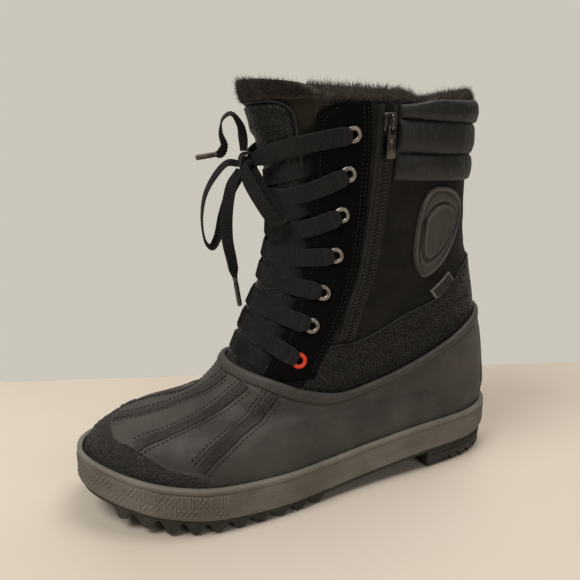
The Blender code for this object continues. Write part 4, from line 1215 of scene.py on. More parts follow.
def build_strips(rib):
    """The ribbed strips moulded over the toe, each with a dashed line on both sides and a thin line
    along both edges, painted near black as painted shade.
    """
    dashes = Shape()
    for name, wide, line, hand in STRIPS:
        line = [(math.radians(hand * t) * TURN_SCALE + TAU * TURN_SCALE, z) for t, z in line]
        flat = smooth_route(line, 0.4)
        turn, z = np.mod(flat[:, 0] / TURN_SCALE, TAU), flat[:, 1]
        run = run_along(surface(turn, z, SHELL_FACE))
        fine = np.arange(0, run[-1], rib / 5)
        turn, z = np.interp(fine, run, np.unwrap(turn)), np.interp(fine, run, z)
        face = surface(turn, z, SHELL_FACE)
        number = np.arange(len(fine))
        before, after = np.maximum(number - 9, 0), np.minimum(number + 9, len(fine) - 1)
        ahead = unit(face[after] - face[before])
        aside = unit(np.cross(unit(surface(turn, z, SHELL_FACE + 1.0) - face), ahead))[:, None]

        def beside(distance):
            target = face[:, None] + aside * np.reshape(distance, (1, -1, 1))
            return landed(target, turn[:, None], z[:, None])

        across = (fine_ends(13, 0.8) * 2 - 1)[None]
        taper = soft(np.minimum(fine, fine[-1] - fine) / 1.2 + 0.3)[:, None]
        edge = np.sqrt(np.clip(1 - np.abs(across) ** 6, 0, 1))
        wave = (0.5 + 0.5 * np.cos(TAU * fine / rib))[:, None]
        height = (0.35 + 0.75 * wave * soft((1 - np.abs(across)) / 0.14)) * edge * taper
        spots = beside(across * wide / 2)
        strip = Shape().slab(on_shell(*spots, 0.15 + height), on_shell(*spots, 0 * height - 0.9))
        strip.piece(f"shell_strip_{name}", "shell_ribs", sharp=50)
        keep = (fine > 0.5) & (fine < fine[-1] - 1.0)
        for sign in (-1, 1):
            spots = [part[keep, 0] for part in beside([sign * (wide / 2 + 2.9)])]
            places = on_shell(*spots, 0.18)
            stitch_row(dashes, places, unit(on_shell(*spots, 1.2) - places), 2.7, 1.8, 0.7)
            # A thin near-black line along each edge of the strip: a painted shadow line.
            spots = [part[::3, 0] for part in beside([sign * (wide / 2 + 0.2)])]
            path = on_shell(*spots, 0.05)
            round_cord(dashes, path, unit(on_shell(*spots, 1.2) - path), 6, 0.45, 0.28)
    dashes.piece("shell_dashes", "shell_dash")


def sole_point(turn, inset, rise):
    """A point of the sole's outline, `rise` above the underside of the band."""
    x = -(LENGTH / 2 - inset) * np.cos(turn)
    outer, inner = (plan_width(x, side, inset) for side in ("lateral", "medial"))
    y = np.where(np.sin(turn) >= 0, -outer, inner)
    return stacked(x, y, read(SOLE, "band", x) + rise)


TOE_ZONE = -70.0
HEEL_ZONE = 61.0
BLOCK_PITCH = 21.0
BLOCK_END = 12.6
MID_LINE = 8.4
RIB_PITCH = 2.0
BRICK_PITCH = 3.1
ROW_PITCH = 1.9
BAND_TOP = 19.5


def band_relief(run, x, rise):
    """The band's moulded pattern by distance round it and height on it."""
    toe = soft((TOE_ZONE - x) / 0.6 + 0.5)
    heel = soft((x - HEEL_ZONE) / 10.0)
    inside = soft((rise - 1.6) / 0.6) * soft((15.6 - rise) / 0.5)
    ribs = soft(0.5 + 0.8 * np.cos(TAU * run / RIB_PITCH))
    place = np.mod(run + np.where(rise > MID_LINE, 0.0, BLOCK_PITCH / 2), BLOCK_PITCH)
    in_block = soft((place - 1.0) / 0.5) * soft((BLOCK_END - place) / 0.5)
    odd = np.mod(np.floor(rise / ROW_PITCH), 2)
    brick = 0.5 + 0.5 * np.cos(TAU * (run / BRICK_PITCH + 0.5 * odd))
    level = 0.5 - 0.5 * np.cos(TAU * rise / ROW_PITCH)
    weave = soft(brick * 2.2 - 0.6) * soft(level * 1.8 - 0.2)
    pattern = 0.55 * ribs * (1 - in_block) + (0.95 * weave - 0.1) * in_block
    mid = hump((rise - MID_LINE) / 0.35)
    relief = toe * (pattern * inside + 0.22 - 0.35 * mid * inside)
    dots = soft(1.4 * (0.5 + 0.5 * np.cos(TAU * rise / 1.5)) - 0.1)
    relief += heel * inside * (0.75 * ribs * (0.35 + 0.65 * dots) - 0.1)
    smooth = (1 - toe) * (1 - heel)
    relief += smooth * (0.2 * soft((rise - MID_LINE) / 0.3) - 0.2 * soft((rise - 12.6) / 0.3))
    relief += smooth * 0.05 * np.sin(TAU * rise / 2.2)
    return relief


def band_turns():
    """Angles round the band, close together where its pattern is fine."""
    dense = np.linspace(0, TAU, 6001)
    points = sole_point(dense, 0.0, 0.0)
    run = run_along(points)
    fine = (points[:, 0] < TOE_ZONE + 3) | (points[:, 0] > HEEL_ZONE - 2)
    weight = np.where(fine, 1 / 0.44, 1 / 2.4)
    total = np.concatenate([[0], np.cumsum((weight[1:] + weight[:-1]) / 2 * np.diff(run))])
    count = int(total[-1])
    at = np.arange(count) / count * total[-1]
    return np.interp(at, total, dense), np.interp(at, total, run)


def build_band():
    """The grey band: a lipped wall with moulded ribs and woven blocks at toe and heel."""
    turn, run = band_turns()
    run = np.minimum(run, run.max() - run)
    rows = [(13.0, 0.0), (1.5, 0.0), (0.75, 0.25), (0.45, 0.8)]
    rows += [(0.45, float(h)) for h in np.linspace(1.4, 15.7, 31)]
    rows += [(0.75, 16.0), (0.72, 16.3), (0.2, 16.65), (0.02, 17.2), (0.0, 18.3), (0.2, 19.0)]
    rows += [(0.7, 19.4), (1.3, BAND_TOP), (BAND_WALL, BAND_TOP), (BAND_WALL, TRAY_FLOOR)]
    rows += [(13.0, TRAY_FLOOR)]
    grid = []
    for inset, rise in rows:
        plain = sole_point(turn, inset, rise)
        relief = band_relief(run, plain[:, 0], rise) if 0.5 < rise < 15.8 and inset < 1 else 0.0
        relief = relief + 0.08 * noise(plain, 18.0, 31)
        out = unit((sole_point(turn, inset - 1.0, rise) - plain) * (1, 1, 0))
        grid.append(plain + out * relief[:, None] * (inset < 3))
    shape = Shape()
    shape.grid(np.array(grid), wrap=True, wrap_rows=True)
    shape.piece("grey_band", "grey_rubber", replaces=["midsole_band"], sharp=55)


LUG_PITCH = 13.0
FIRST_LUG = -126.0
LAST_LUG = -9.0
HEEL_FRONT = 78.0
HEEL_FLAT = 17.0
TOOTH_PITCH = 9.0
TOOTH_DEPTH = 4.2
TREAD_INSET = 2.2
PLATE = 2.6


def tread_height(x, across):
    """How far down the tread reaches under the forefoot, 0 to 1: zigzag lugs with sharp tips."""
    zig = np.abs(np.mod(across * 2.0, 1.0) * 2 - 1)
    place = x + 4.6 * (zig - 0.5)
    wave = np.abs(np.mod((place - FIRST_LUG) / LUG_PITCH + 0.5, 1.0) * 2 - 1)
    whole = soft(np.minimum(across, 1 - across) / 0.045)
    lug = soft((1 - wave) * 2.4 - 0.35)
    lug = lug * whole + soft((1 - wave) * 1.15) * (1 - whole) * 0.9
    ends = soft((x - FIRST_LUG + 7) / 5.0) * soft((LAST_LUG + 7 - x) / 5.0)
    groove = 1 - 0.5 * hump((across - 0.5) / 0.03)
    return lug * ends * groove


def build_outsole():
    """The black outsole: zigzag lugs under the forefoot, a toothed heel block, a plain arch."""
    front = -LENGTH / 2 + TREAD_INSET + 0.4
    back = LENGTH / 2 - TREAD_INSET - 0.4
    xs = [np.arange(front, HEEL_FRONT - 0.5, 1.05)]
    xs += [np.array([HEEL_FRONT - 0.25, HEEL_FRONT, HEEL_FRONT + 0.5])]
    xs += [np.arange(HEEL_FRONT + 1.2, back, 0.75), np.array([back])]
    x = np.concatenate(xs)[:, None]
    share = fine_ends(45, 0.55)[None]
    outer, inner = -plan_width(x, "lateral", TREAD_INSET), plan_width(x, "medial", TREAD_INSET)
    y = outer + (inner - outer) * share
    x, across = x + 0 * y, share + 0 * y
    seat = read(SOLE, "band", x) - GAP
    plate = seat - PLATE
    z = plate + (read(SOLE, "ground", x) - plate) * tread_height(x, across)
    tooth = np.mod(x - HEEL_FRONT - HEEL_FLAT, TOOTH_PITCH)
    notch = np.minimum(soft(tooth / 2.6), soft((TOOTH_PITCH - 3.2 - tooth) / 2.6)) * TOOTH_DEPTH
    notch = notch * ((x > HEEL_FRONT + HEEL_FLAT) & (x < back - 4.0))
    notch = notch + 0.9 * soft((x - back + 1.6) / 1.6)
    side_cut = 1.2 * (1 - soft(np.minimum(across, 1 - across) / 0.03))
    z = np.maximum(np.where(x >= HEEL_FRONT, notch + side_cut * (notch < 0.5), z), 0.02)
    tread = Shape().slab(stacked(x, y, seat), stacked(x, y, z))
    tread.piece("outsole_tread", "black_rubber", replaces=["outsole"], sharp=32)


def build_heel_lines():
    """Two thin moulded ledges round the side of the heel block."""
    shape = Shape()
    x = np.arange(HEEL_FRONT + 0.6, LENGTH / 2 - 4.0, 1.2)
    for drop in (3.4, 6.2):
        for side, sign in (("lateral", -1), ("medial", 1)):
            y = sign * plan_width(x, side, TREAD_INSET)
            path = stacked(x, y, read(SOLE, "band", x) - GAP - drop)
            round_cord(shape, path, (0, sign, 0), 8, 0.45, 0.55)
    shape.piece("heel_ledges", "black_rubber")


# Upper --------------------------------

CORNER = 8.0
EYESTAY_FOOT = 79.0
EYESTAY_HEAD = 243.4
EYESTAY_THICK = 1.5
QUARTER_START = 0.205
COLLAR_SEAMS = (197.0, 213.5, 233.0, 246.0)

CLOTH_FOLDS = (
    ((38, 153), (58, 150), 2.6, 0.9), ((40, 147), (57, 144), 2.8, -0.7),
    ((31, 128), (62, 112), 3, -0.9), ((44, 134), (72, 124), 3.2, 1),
    ((54, 146), (66, 128), 3.4, 0.8), ((34, 190), (52, 180), 3.6, 0.6),
    ((36, 172), (49, 176), 3.2, -0.5), ((100, 190), (112, 160), 4.2, -0.7),
    ((96, 150), (114, 152), 3.4, 0.9), ((26, 112), (44, 108), 2.6, 0.7),
)
QUARTER_FOLDS = (
    ((4, 84), (26, 92), 3, 0.8), ((14, 78), (44, 88), 3.2, -0.8), ((30, 84), (70, 108), 3.4, 0.7),
    ((60, 96), (96, 118), 4, -0.6), ((84, 112), (112, 128), 4, 0.6),
)


def throat_half(z):
    """Half the throat's width, its top corners rounded off."""
    z = np.asarray(z, float)
    rise = np.clip(z - (EYESTAY_HEAD - CORNER), 0, CORNER)
    return read(THROAT, "half", z) + CORNER - np.sqrt(np.clip(CORNER**2 - rise**2, 0, None))


def throat_turns(z):
    """The angles of the throat's two edges at a height."""
    half = throat_half(z)
    return front_turn(-half, z), front_turn(half, z)


def build_upper():
    """The shaft: cloth outside with its folds, fleece inside, open down the throat."""
    z = np.concatenate([np.linspace(66, 240, 92), [241.6, 242.6, 243.0]])[:, None]
    start, end = throat_turns(z)
    turn = start + (end - start) * fine_ends(165, 0.3)[None]
    level = z + 0 * turn
    face = bare_point(turn, level)
    relief = 0.25 * noise(face, 17.0, 41) + 0.1 * noise(face, 7.0, 42)
    relief = folded(relief, face[..., [0, 2]], CLOTH_FOLDS, fading=True)
    outer = surface(turn, level, relief * soft((level - 84) / 8) * soft((240 - level) / 6))
    lumps = 0.9 * noise(face, 6.0, 51) + 0.5 * noise(face, 2.6, 52)
    inner = surface(turn, level, -UPPER_WALL + 0.6 + lumps * 0.8)
    finishes = ["black_cloth", "black_fleece"]
    Shape().slab(outer, inner, inner_slot=1).piece("shaft_cloth", finishes, replaces=["upper"])
    turn = even_turns(150)
    chord = chord_of(turn)
    low = tray_line(chord)
    high = np.minimum(rim_line(chord) - 5.0, 74.0)
    level = low + (high - low) * np.linspace(0, 1, 12)[:, None]
    turn = turn + 0 * level
    inner = surface(turn, level, -UPPER_WALL + 0.4 + 0.5 * noise(bare_point(turn, level), 5.0, 53))
    foot = Shape().slab(surface(turn, level, 0.1), inner, wrap=True, inner_slot=1)
    foot.piece("foot_lining", finishes)


def eyelet_at(row):
    """The length and the height of an eyelet."""
    return float(EYELETS["x"][row]), float(EYELETS["z"][row])


def eyelet_place(row, side):
    return side_point(*eyelet_at(row), 0.0, side)


def build_eyestay(side):
    """One eyestay: a suede strip up the throat's edge, cut thick, dimpled round its eyelets."""
    z = EYESTAY_FOOT + (EYESTAY_HEAD - EYESTAY_FOOT) * fine_ends(120, 0.45)[:, None]
    share = fine_ends(34, 0.6)[None]
    half = throat_half(z) - 1.1
    end = turn_at(read(EYESTAY, "back", z), z)
    if side == "lateral":
        start = front_turn(-half, z)
        turn = start + (end - start) * share
    else:
        start = TAU - front_turn(half, z)
        turn = TAU - (start + (end - start) * share)
    level = z + 0 * turn
    face = bare_point(turn, level)
    full = rolled(face, 1.3)
    relief = 0.12 * noise(face, 16.0, 61) + 0.05 * noise(face, 3.0, 62)
    for row in range(len(EYELETS["z"])):
        gap = np.linalg.norm(face - eyelet_place(row, side), axis=-1)
        relief -= 0.35 * hump((gap - 3.0) / 3.4)
    lift = 0.7 * soft((0.16 - share) / 0.16)
    top = surface(turn, level, -0.2 + (EYESTAY_THICK + 0.2) * full + relief * full + lift)
    under = surface(turn, level, np.full(turn.shape, -0.3) + lift * 0.8)
    Shape().slab(top, under).piece(f"eyestay_{side}", "eyestay_suede", sharp=70)
    threads = Shape()
    sign = -1 if side == "lateral" else 1
    line = [(sign * (float(throat_half(q)) + 1.6), q) for q in np.linspace(84, 240, 27)]
    path = smooth_route(line, 1.0)
    places, out = raised(lambda off: front_point(*path.T, off), EYESTAY_THICK + 0.25)
    stitch_row(threads, places, out, 2.3, 1.1, 0.45, sink=0.1)
    for inset in (2.0, 4.4):
        line = [(float(read(EYESTAY, "back", q)) - inset, q) for q in np.linspace(84, 241, 20)]
        places, out = on_side(line, 1.0, EYESTAY_THICK + 0.12, side)
        stitch_row(threads, places, out, 2.6, 1.3, 0.45, sink=0.08)
    threads.piece(f"eyestay_stitches_{side}", "dull_thread")


def build_quarter():
    """The leather quarter round the heel, its upper edge piped and stitched."""
    start = float(np.arccos(1 - 2 * QUARTER_START))
    turn = start + (TAU - 2 * start) * fine_ends(330, 0.2)[None]
    chord = chord_of(turn)
    low = rim_line(chord) - 2.4
    level = low + (read(QUARTER, "z", chord) - low) * fine_ends(40, 0.7)[:, None]
    turn = turn + 0 * level
    face = bare_point(turn, level)
    full = rolled(face, 1.6, (1, 1, 0, 1))
    relief = 0.35 * noise(face, 15.0, 71) + 0.12 * noise(face, 6.0, 72)
    relief = folded(relief, face[..., [0, 2]], QUARTER_FOLDS)
    outer = surface(turn, level, -0.1 + 1.25 * full + relief * full)
    leather = Shape().slab(outer, surface(turn, level, np.full(level.shape, -0.3)))
    leather.piece("quarter_leather", "black_leather", sharp=60)
    turn = np.linspace(start + 0.02, TAU - start - 0.02, 420)
    chord = chord_of(turn)
    edge = read(QUARTER, "z", chord)
    piping = Shape()
    round_cord(piping, surface(turn, edge - 0.1, 0.75), normal_at(turn, edge), 8, 0.75, 0.75)
    piping.piece("quarter_piping", "piping_leather")
    threads = Shape()
    seam, foot = edge - 3.2, rim_line(chord) + 2.6
    places = surface(turn, seam, 1.35)
    stitch_row(threads, places, normal_at(turn, seam), 3.1, 2.1, 0.5, sink=0.1)
    places = surface(turn, foot, 1.25)
    stitch_row(threads, places, normal_at(turn, foot), 2.6, 1.9, 0.55, sink=0.1)
    threads.piece("quarter_stitches", "dull_thread")


def build_vamp_leather():
    """The glossy leather at the foot of the throat, under the lowest lace."""
    half, low, high, sag = 33.0, 75.0, 92.0, 5.5
    across = np.linspace(-1, 1, 61)[None]
    z = low + (high - sag * across**2 - low) * fine_ends(26, 0.5)[:, None]
    y = half * across + 0 * z
    relief = 0.25 * noise(stacked(y, z), 6.0, 81)
    full = rolled(front_point(y, z), 1.2)
    outer = front_point(y, z, -0.2 + 0.9 * full + relief * full)
    strip = Shape().slab(outer, front_point(y, z, -1.6))
    strip.piece("throat_foot", "vamp_leather", sharp=60)
    threads = Shape()
    line = np.linspace(-30, 30, 90)
    level = high - 2.0 - sag * (line / half) ** 2
    places, out = raised(lambda off: front_point(line, level, off), 0.8)
    stitch_row(threads, places, out, 2.8, 1.9, 0.5)
    threads.piece("throat_foot_stitches", "dull_thread")


PAD_HALF = table("z half", (73, 24), (100, 25), (150, 22.5), (200, 24.5), (230, 28), (257, 28))
PAD_TOP = 243.9
PAD_CORNER = 7.0
TONGUE_TIP = 36.5
TONGUE_EDGE = ((-25.6, 206), (-27.2, 222), (-28.2, 234), (-27, 240), (-21.5, 243.6), (-10, 243.9))


def pad_gap(beside, below):
    """Distance in from the pad's edge, its top corners round."""
    over, high = PAD_CORNER - beside, PAD_CORNER - below
    round_off = PAD_CORNER - np.hypot(over, high)
    return np.where((over > 0) & (high > 0), round_off, np.minimum(beside, below))


def head_share(z):
    """How far up the tongue's head a height is, 0 at its foot to 1 at its top."""
    return np.clip(z - 215.0, 0, None) / 42.0


def tongue_face(y, z, out):
    """A point on the tongue: it leans forward above the laces."""
    flare = head_share(z)
    lean = stacked(0.8 - 5.0 * flare**2, 0 * flare, 0 * flare)
    return front_point(y, z, out) + lean


def crown_share(z):
    """How full the fleece on the tongue's top edge is at a height, 1 to 0."""
    return np.sqrt(np.clip(1 - (np.clip(z - 251.0, 0, None) / 6.4) ** 2, 0, 1))


def tongue_droop(across, z):
    """How the tongue's top edge drops towards its corners; across runs from -1 to 1."""
    return -3.2 * across**2 * soft((z - 244) / 10) - 4.0 * across**10 * soft((z - 249) / 6)


def build_tongue():
    """The tongue: a padded leather head with a piped edge, on a gusset of brown twill."""
    rows = [np.linspace(74, 243, 104), np.linspace(243.6, 246, 5), np.linspace(247, 256.4, 10)]
    z = np.concatenate(rows)[:, None]
    across = np.linspace(-1, 1, 65)[None]
    y = (read(THROAT, "half", z) - 1.5) * across
    pad = read(PAD_HALF, "half", z)
    gap = pad_gap(pad - np.abs(y), PAD_TOP + 0.0 * y - z)
    cushion = soft(gap / 2.6) * (1.5 + 1.5 * soft((z - 205) / 14))
    flat = stacked(y, z + 0 * y)
    wrinkle = 0.3 * noise(flat, 12.0, 91) + 0.2 * noise(flat, (5.0, 3.0), 92)
    creased = (1 - np.abs(noise(flat, (6.5, 2.4), 93)) * 2) * soft((z - 218) / 10)
    fold = -1.1 * hump((z - 222.0 - 0.05 * y) / 3.2) + 0.7 * hump((z - 229.0) / 4.0)
    margin = -2.6 * soft((np.abs(y) - pad) / 4.0 + 0.2) * soft((236 - z) / 16) * soft((z - 72) / 20)
    out = -0.4 + cushion + wrinkle + (fold + 0.26 * creased) * soft(gap / 6) + margin
    out = np.where(z < 84, np.minimum(out, -0.6), out)
    fleece = soft((z - PAD_TOP - 0.4) / 1.4)
    lumps = 0.8 * noise(flat, 5.0, 94) + 0.4 * noise(flat, 2.4, 95)
    crown = crown_share(z)
    out = out + fleece * (2.2 + lumps) * crown - 2.0 * fleece * (1 - crown)
    droop = tongue_droop(across, z)
    inner = tongue_face(y, z + droop, np.full(y.shape, -0.6))
    inner[..., 0] += 6.0 - 2.0 * head_share(z) + 0 * y
    shape = Shape().slab(tongue_face(y, z + droop, out), inner, inner_slot=1)
    off_pad = (gap[:-1, :-1] < 0.3).ravel()
    above = np.repeat(z[:-1, 0] > PAD_TOP + 0.5, y.shape[1] - 1)
    shape.slots[0] = np.where(above, 1, np.where(off_pad, 2, 0))
    for slots in shape.slots[2:]:
        slots[:] = 1
    names = ["tongue_leather", "black_fleece", "gusset_twill"]
    shape.piece("tongue_pad", names, replaces=["tongue"], sharp=70)
    line = [*TONGUE_EDGE, (0, 243.9), *((-side, up) for side, up in TONGUE_EDGE[::-1])]
    path = smooth_route(line, 1.2)
    piping = Shape()
    round_cord(piping, *raised(lambda off: tongue_face(*path.T, off), 1.6), 8, 0.85, 0.95)
    piping.piece("tongue_piping", "piping_leather")
    threads = Shape()
    seam = smooth_route([(side * 0.86, up - 2.6) for side, up in line], 1.0)
    places, out = raised(lambda off: tongue_face(*seam.T, off), 2.1)
    stitch_row(threads, places, out, 3.0, 2.0, 0.5, sink=0.1)
    threads.piece("tongue_stitches", "dull_thread")


def collar_turns(z):
    return turn_at(read(ZIP, "x", z) + 6.6, z), turn_at(34.0 + 0 * z, z, "medial")


def collar_swell(level, run):
    """How full the collar is: three rolls between sewn seams, puckered beside each seam."""
    swell = np.zeros(level.shape)
    for low, high in zip(COLLAR_SEAMS, COLLAR_SEAMS[1:]):
        inside = (level >= low) & (level <= high)
        t = np.clip((level - low) / (high - low), 0, 1)
        swell = np.where(inside, np.sin(math.pi * t) ** 0.42, swell)
        near = hump(np.minimum(level - low, high - level) / 3.2)
        pucker = noise(stacked(run + 0.15 * (level - low), level), (2.6, 9.0), int(low))
        swell = swell + np.where(inside, 0.16 * near * pucker * soft(t * 12) * soft((1 - t) * 12), 0)
    return swell


def top_roll(level):
    """How far up the collar's top roll a height is, 0 to 1."""
    low, high = COLLAR_SEAMS[2:]
    return np.clip((level - low) / (high - low), 0, 1)


def build_collar():
    """The quilted collar: three stuffed satin rolls with puckered seams between them."""
    marks = [np.linspace(low, high, 17)[:-1] for low, high in zip(COLLAR_SEAMS, COLLAR_SEAMS[1:])]
    z = np.concatenate([*marks, [COLLAR_SEAMS[-1]]])[:, None]
    start, end = collar_turns(z)
    turn = start + (end - start) * fine_ends(240, 0.3)[None]
    level = z + 0 * turn
    face = bare_point(turn, level)
    run = layout(face)[..., 0] / MM
    full = rolled(face, 3.4, (1, 1, 0, 0))
    swell = collar_swell(level, run)
    gone = run - run[:, :1]
    dip = 1 - soft(gone / 34.0)
    level = level - dip * 5.0 * top_roll(level) + dip * 1.2
    level += 1.2 * soft((gone - 40) / 30.0) * top_roll(level)
    lumps = 0.35 * noise(face, 11.0, 101) + 0.16 * noise(face, 4.5, 102)
    proud = 1.0 + (2.9 * swell + 1.6 * lumps * swell) * full
    back = soft((chord_of(turn) - 0.75) / 0.2)
    proud += back * (level > COLLAR_SEAMS[2]) * 0.9 * swell
    outer = surface(turn, level, proud * (0.35 + 0.65 * full))
    shape = Shape().slab(outer, surface(turn, level, np.full(turn.shape, 0.3)))
    collar = shape.piece("collar_rolls", "quilted_satin", replaces=["quilted_collar"], sharp=75)
    threads = Shape()
    for seam in COLLAR_SEAMS[1:3]:
        start, end = collar_turns(np.array([seam]))
        turns = np.linspace(float(start[0]) + 0.03, float(end[0]) - 0.03, 300)
        places = surface(turns, seam, 1.35)
        stitch_row(threads, places, normal_at(turns, seam), 3.2, 2.2, 0.5)
    places, out = on_side([(49.5, 198.2), (50.2, 205.0), (50.5, 212.5)], 1.0, 4.6)
    stitch_row(threads, places, out, 2.4, 1.7, 0.45)
    threads.piece("collar_stitches", "black_thread")


CUFF_TOP = table(
    "chord rise",
    (0, 9.3), (0.14, 9.3), (0.25, 8.8), (0.38, 7.6), (0.45, 7.4), (0.517, 7.2), (0.55, 5.4),
    (0.575, 2.6), (0.6, 2.8), (0.655, 4.8), (0.72, 6.6), (0.78, 7.8), (0.835, 8.6), (0.9, 9.2),
    (1, 9.2),
)
CUFF_SIDES = 26
CUFF_MIDDLE = -4.2


def build_cuff(fibres):
    """The fleece cuff: the lining's thick, uneven edge, with its pile standing out."""
    wide = float(read(THROAT, "half", COLLAR_Z)) - 4.5
    start, end = float(front_turn(-wide, COLLAR_Z)), float(front_turn(wide, COLLAR_Z))
    turn = np.linspace(start, end, 360)
    around = np.arange(CUFF_SIDES) * TAU / CUFF_SIDES
    rise = np.where(turn < math.pi, read(CUFF_TOP, "rise", chord_of(turn)), 9.2)
    z = COLLAR_Z - 1.5 + (rise[:, None] + 1.5) * (0.5 - 0.5 * np.cos(around))[None]
    offset = 3.9 * np.sin(around)[None] * (0.72 + 0.28 * np.cos(around / 2)[None] ** 2)
    offset = CUFF_MIDDLE + offset
    turns = turn[:, None] + 0 * z
    plain = surface(turns, z, offset + 0 * z)
    lumps = 0.8 * noise(plain, 5.0, 111) + 0.45 * noise(plain, 2.4, 112)
    grid = surface(turns, z + 0.5 * lumps, offset + lumps * np.sin(around)[None])
    shape = Shape()
    index = shape.grid(grid, wrap=True)
    shape.cap_rings(index[0], index[-1])
    shape.piece("fleece_edge", "black_fleece", replaces=["fleece_cuff"])
    pile = Shape()
    chance = np.random.default_rng(7)
    cuff_pile(pile, grid, turn, fibres, chance)
    few = fibres // 4
    inside_z = chance.uniform(205, 243, few)
    inside_turn = chance.uniform(start + 0.02, end - 0.02, few)
    roots = surface(inside_turn, inside_z, -UPPER_WALL + 0.8)
    hair(pile, roots, -normal_at(inside_turn, inside_z), 2.2, 0.18, (0, 0, 0.3), 9)
    tongue_pile(pile, fibres // 2, chance)
    pile.piece("fleece_pile", "fleece_fibre", fix_normals=False, sharp=180)


def cuff_pile(pile, grid, turn, fibres, chance):
    """Fibres over the cuff's grid, save on its hidden foot."""
    rows = chance.uniform(0, len(turn) - 1.01, fibres)
    spots = chance.uniform(0, TAU, fibres)
    facing = (spots > 0.5) & (spots < TAU - 0.5)
    rows, spots = rows[facing], spots[facing]
    k = rows.astype(int)
    t = (rows - k)[:, None]
    j = (spots / TAU * CUFF_SIDES).astype(int) % CUFF_SIDES
    roots = grid[k, j] * (1 - t) + grid[k + 1, j] * t
    jitter = chance.uniform(0, 1, len(k))[:, None]
    roots = roots * (1 - jitter) + jitter * grid[k, (j + 1) % CUFF_SIDES]
    out = unit(roots - surface(turn[k], COLLAR_Z + 2.0, CUFF_MIDDLE) + np.array([0, 0, 1.5]))
    hair(pile, roots, out, 3.1, 0.17, (0, 0, 0.2), 8)
    hair(pile, roots[::8], out[::8], 5.4, 0.2, (0, 0, 0.25), 12)


def tongue_pile(pile, fibres, chance):
    """Fibres on the fleece that tops the tongue, leaning out at its corners."""
    y = chance.uniform(-36, 36, fibres)
    share = chance.uniform(0, 1, len(y))
    top = PAD_TOP + 1.0 + 11.4 * share
    crown = crown_share(top)
    across = y / TONGUE_TIP
    z = top + tongue_droop(across, top)
    roots = tongue_face(y, z, 1.2 * crown - 2.4 * (1 - crown))
    out = unit(tongue_face(y, z, 3.0) - tongue_face(y, z, 0.0))
    out = unit(out * (0.3 + crown)[:, None] + np.array([0, 0, 1.2]) * (1.25 - crown)[:, None])
    out = unit(out + stacked(0 * y, 1.3 * across**7, 0 * y))
    hair(pile, roots, out, 3.0, 0.18, (0, 0, 0.3), 10)
    hair(pile, roots[::6], out[::6], 5.2, 0.2, (0, 0, 0.3), 13)


def build_footbed():
    """The felt footbed, with a soft dish under the heel."""
    turn = even_turns(150)
    level = tray_line(chord_of(turn)) + 4.0
    wall = np.full(len(turn), -UPPER_WALL - 0.7)
    high = surface(turn, level, wall)
    middle = high.mean(0)
    rings = [surface(turn, level - 4.0, wall), high]
    for share in (0.12, 0.3, 0.5, 0.7, 0.88):
        ring = high * (1 - share) + (middle * (0, 0, 0) + high * (1, 0, 1)) * share
        ring[:, 2] += -0.8 * share * soft((ring[:, 0] - 60) / 40) + 0.1 * noise(ring, 6.0, 121)
        rings.append(ring)
    shape = Shape()
    index = shape.grid(np.array(rings), wrap=True)
    shape.cap_rings(index[0])
    last = index[-1]
    half = len(last) // 2
    shape.bridge(last[: half + 1], np.append(last[half:], last[0])[::-1])
    shape.piece("footbed", "footbed_felt", replaces=["insole"])


def build_lining_pile(fibres):
    """The sparse, short pile over the lining's lower reaches."""
    chance = np.random.default_rng(17)
    z = chance.uniform(110, 205, fibres)
    start, end = throat_turns(z)
    turn = start + (end - start) * chance.uniform(0.02, 0.98, fibres)
    pile = Shape()
    hair(pile, surface(turn, z, -UPPER_WALL + 0.8), -normal_at(turn, z), 2.6, 0.24, (0, 0, 0.3), 18)
    pile.piece("lining_pile", "fleece_fibre", fix_normals=False, sharp=180)


# Fittings -----------------------------

EYELET_PROFILE = (
    (2.5, -0.5), (2.45, 0.5), (2.7, 0.95), (3.2, 1.2), (3.8, 1.22), (4.4, 1), (4.8, 0.55),
    (4.9, 0), (4.7, -0.4),
)
ZIP_FOOT = 101.0
COIL_PITCH = 1.1
SLIDER_Z = 232.0
SLIDER_SEAT = 0.2
SLIDER_BODY = 2.4
CROWN_INSIDE = 2.4
PIVOT_V = -2.6
PIVOT_N = SLIDER_SEAT + SLIDER_BODY + CROWN_INSIDE / 2
PULL_LENGTH = 18.0
UPRIGHT = np.array([0, 0, 1.0])


def axes_on_side(x, z, side="lateral"):
    """Place and axes of a fitting that lies flat on the boot's side: right, up, out."""
    here, out = raised(lambda off: side_point(x, z, off, side), 0.0)
    up = unit(UPRIGHT - out * out[2])
    return here, np.stack([np.cross(up, out), up, out])


def build_eyelets():
    """The rolled eyelets, the lowest pair in orange enamel."""
    groups = {
        "eyelets_pewter": (Shape(), "worn_metal", []),
        "eyelets_orange": (Shape(), "red_enamel", []),
    }
    turn = np.arange(40) * TAU / 40
    for side in ("lateral", "medial"):
        for row in range(len(EYELETS["z"])):
            here, axes = axes_on_side(*eyelet_at(row), side)
            wobble = 1 + 0.012 * np.sin(3 * turn + row)
            rings = []
            for radius, height in EYELET_PROFILE:
                local = stacked(np.cos(turn), np.sin(turn), 0 * turn) * radius
                local = local * wobble[:, None] + [0, 0, height + EYESTAY_THICK - 0.1]
                rings.append(here + local @ axes)
            shape, _, nodes = groups["eyelets_orange" if row == 0 else "eyelets_pewter"]
            shape.grid(np.array(rings), wrap=True, wrap_rows=True)
            nodes.append(f"eyelet_{side}_{row + 1}")
    for name, (shape, finish, nodes) in groups.items():
        shape.piece(name, finish, replaces=nodes, sharp=60)


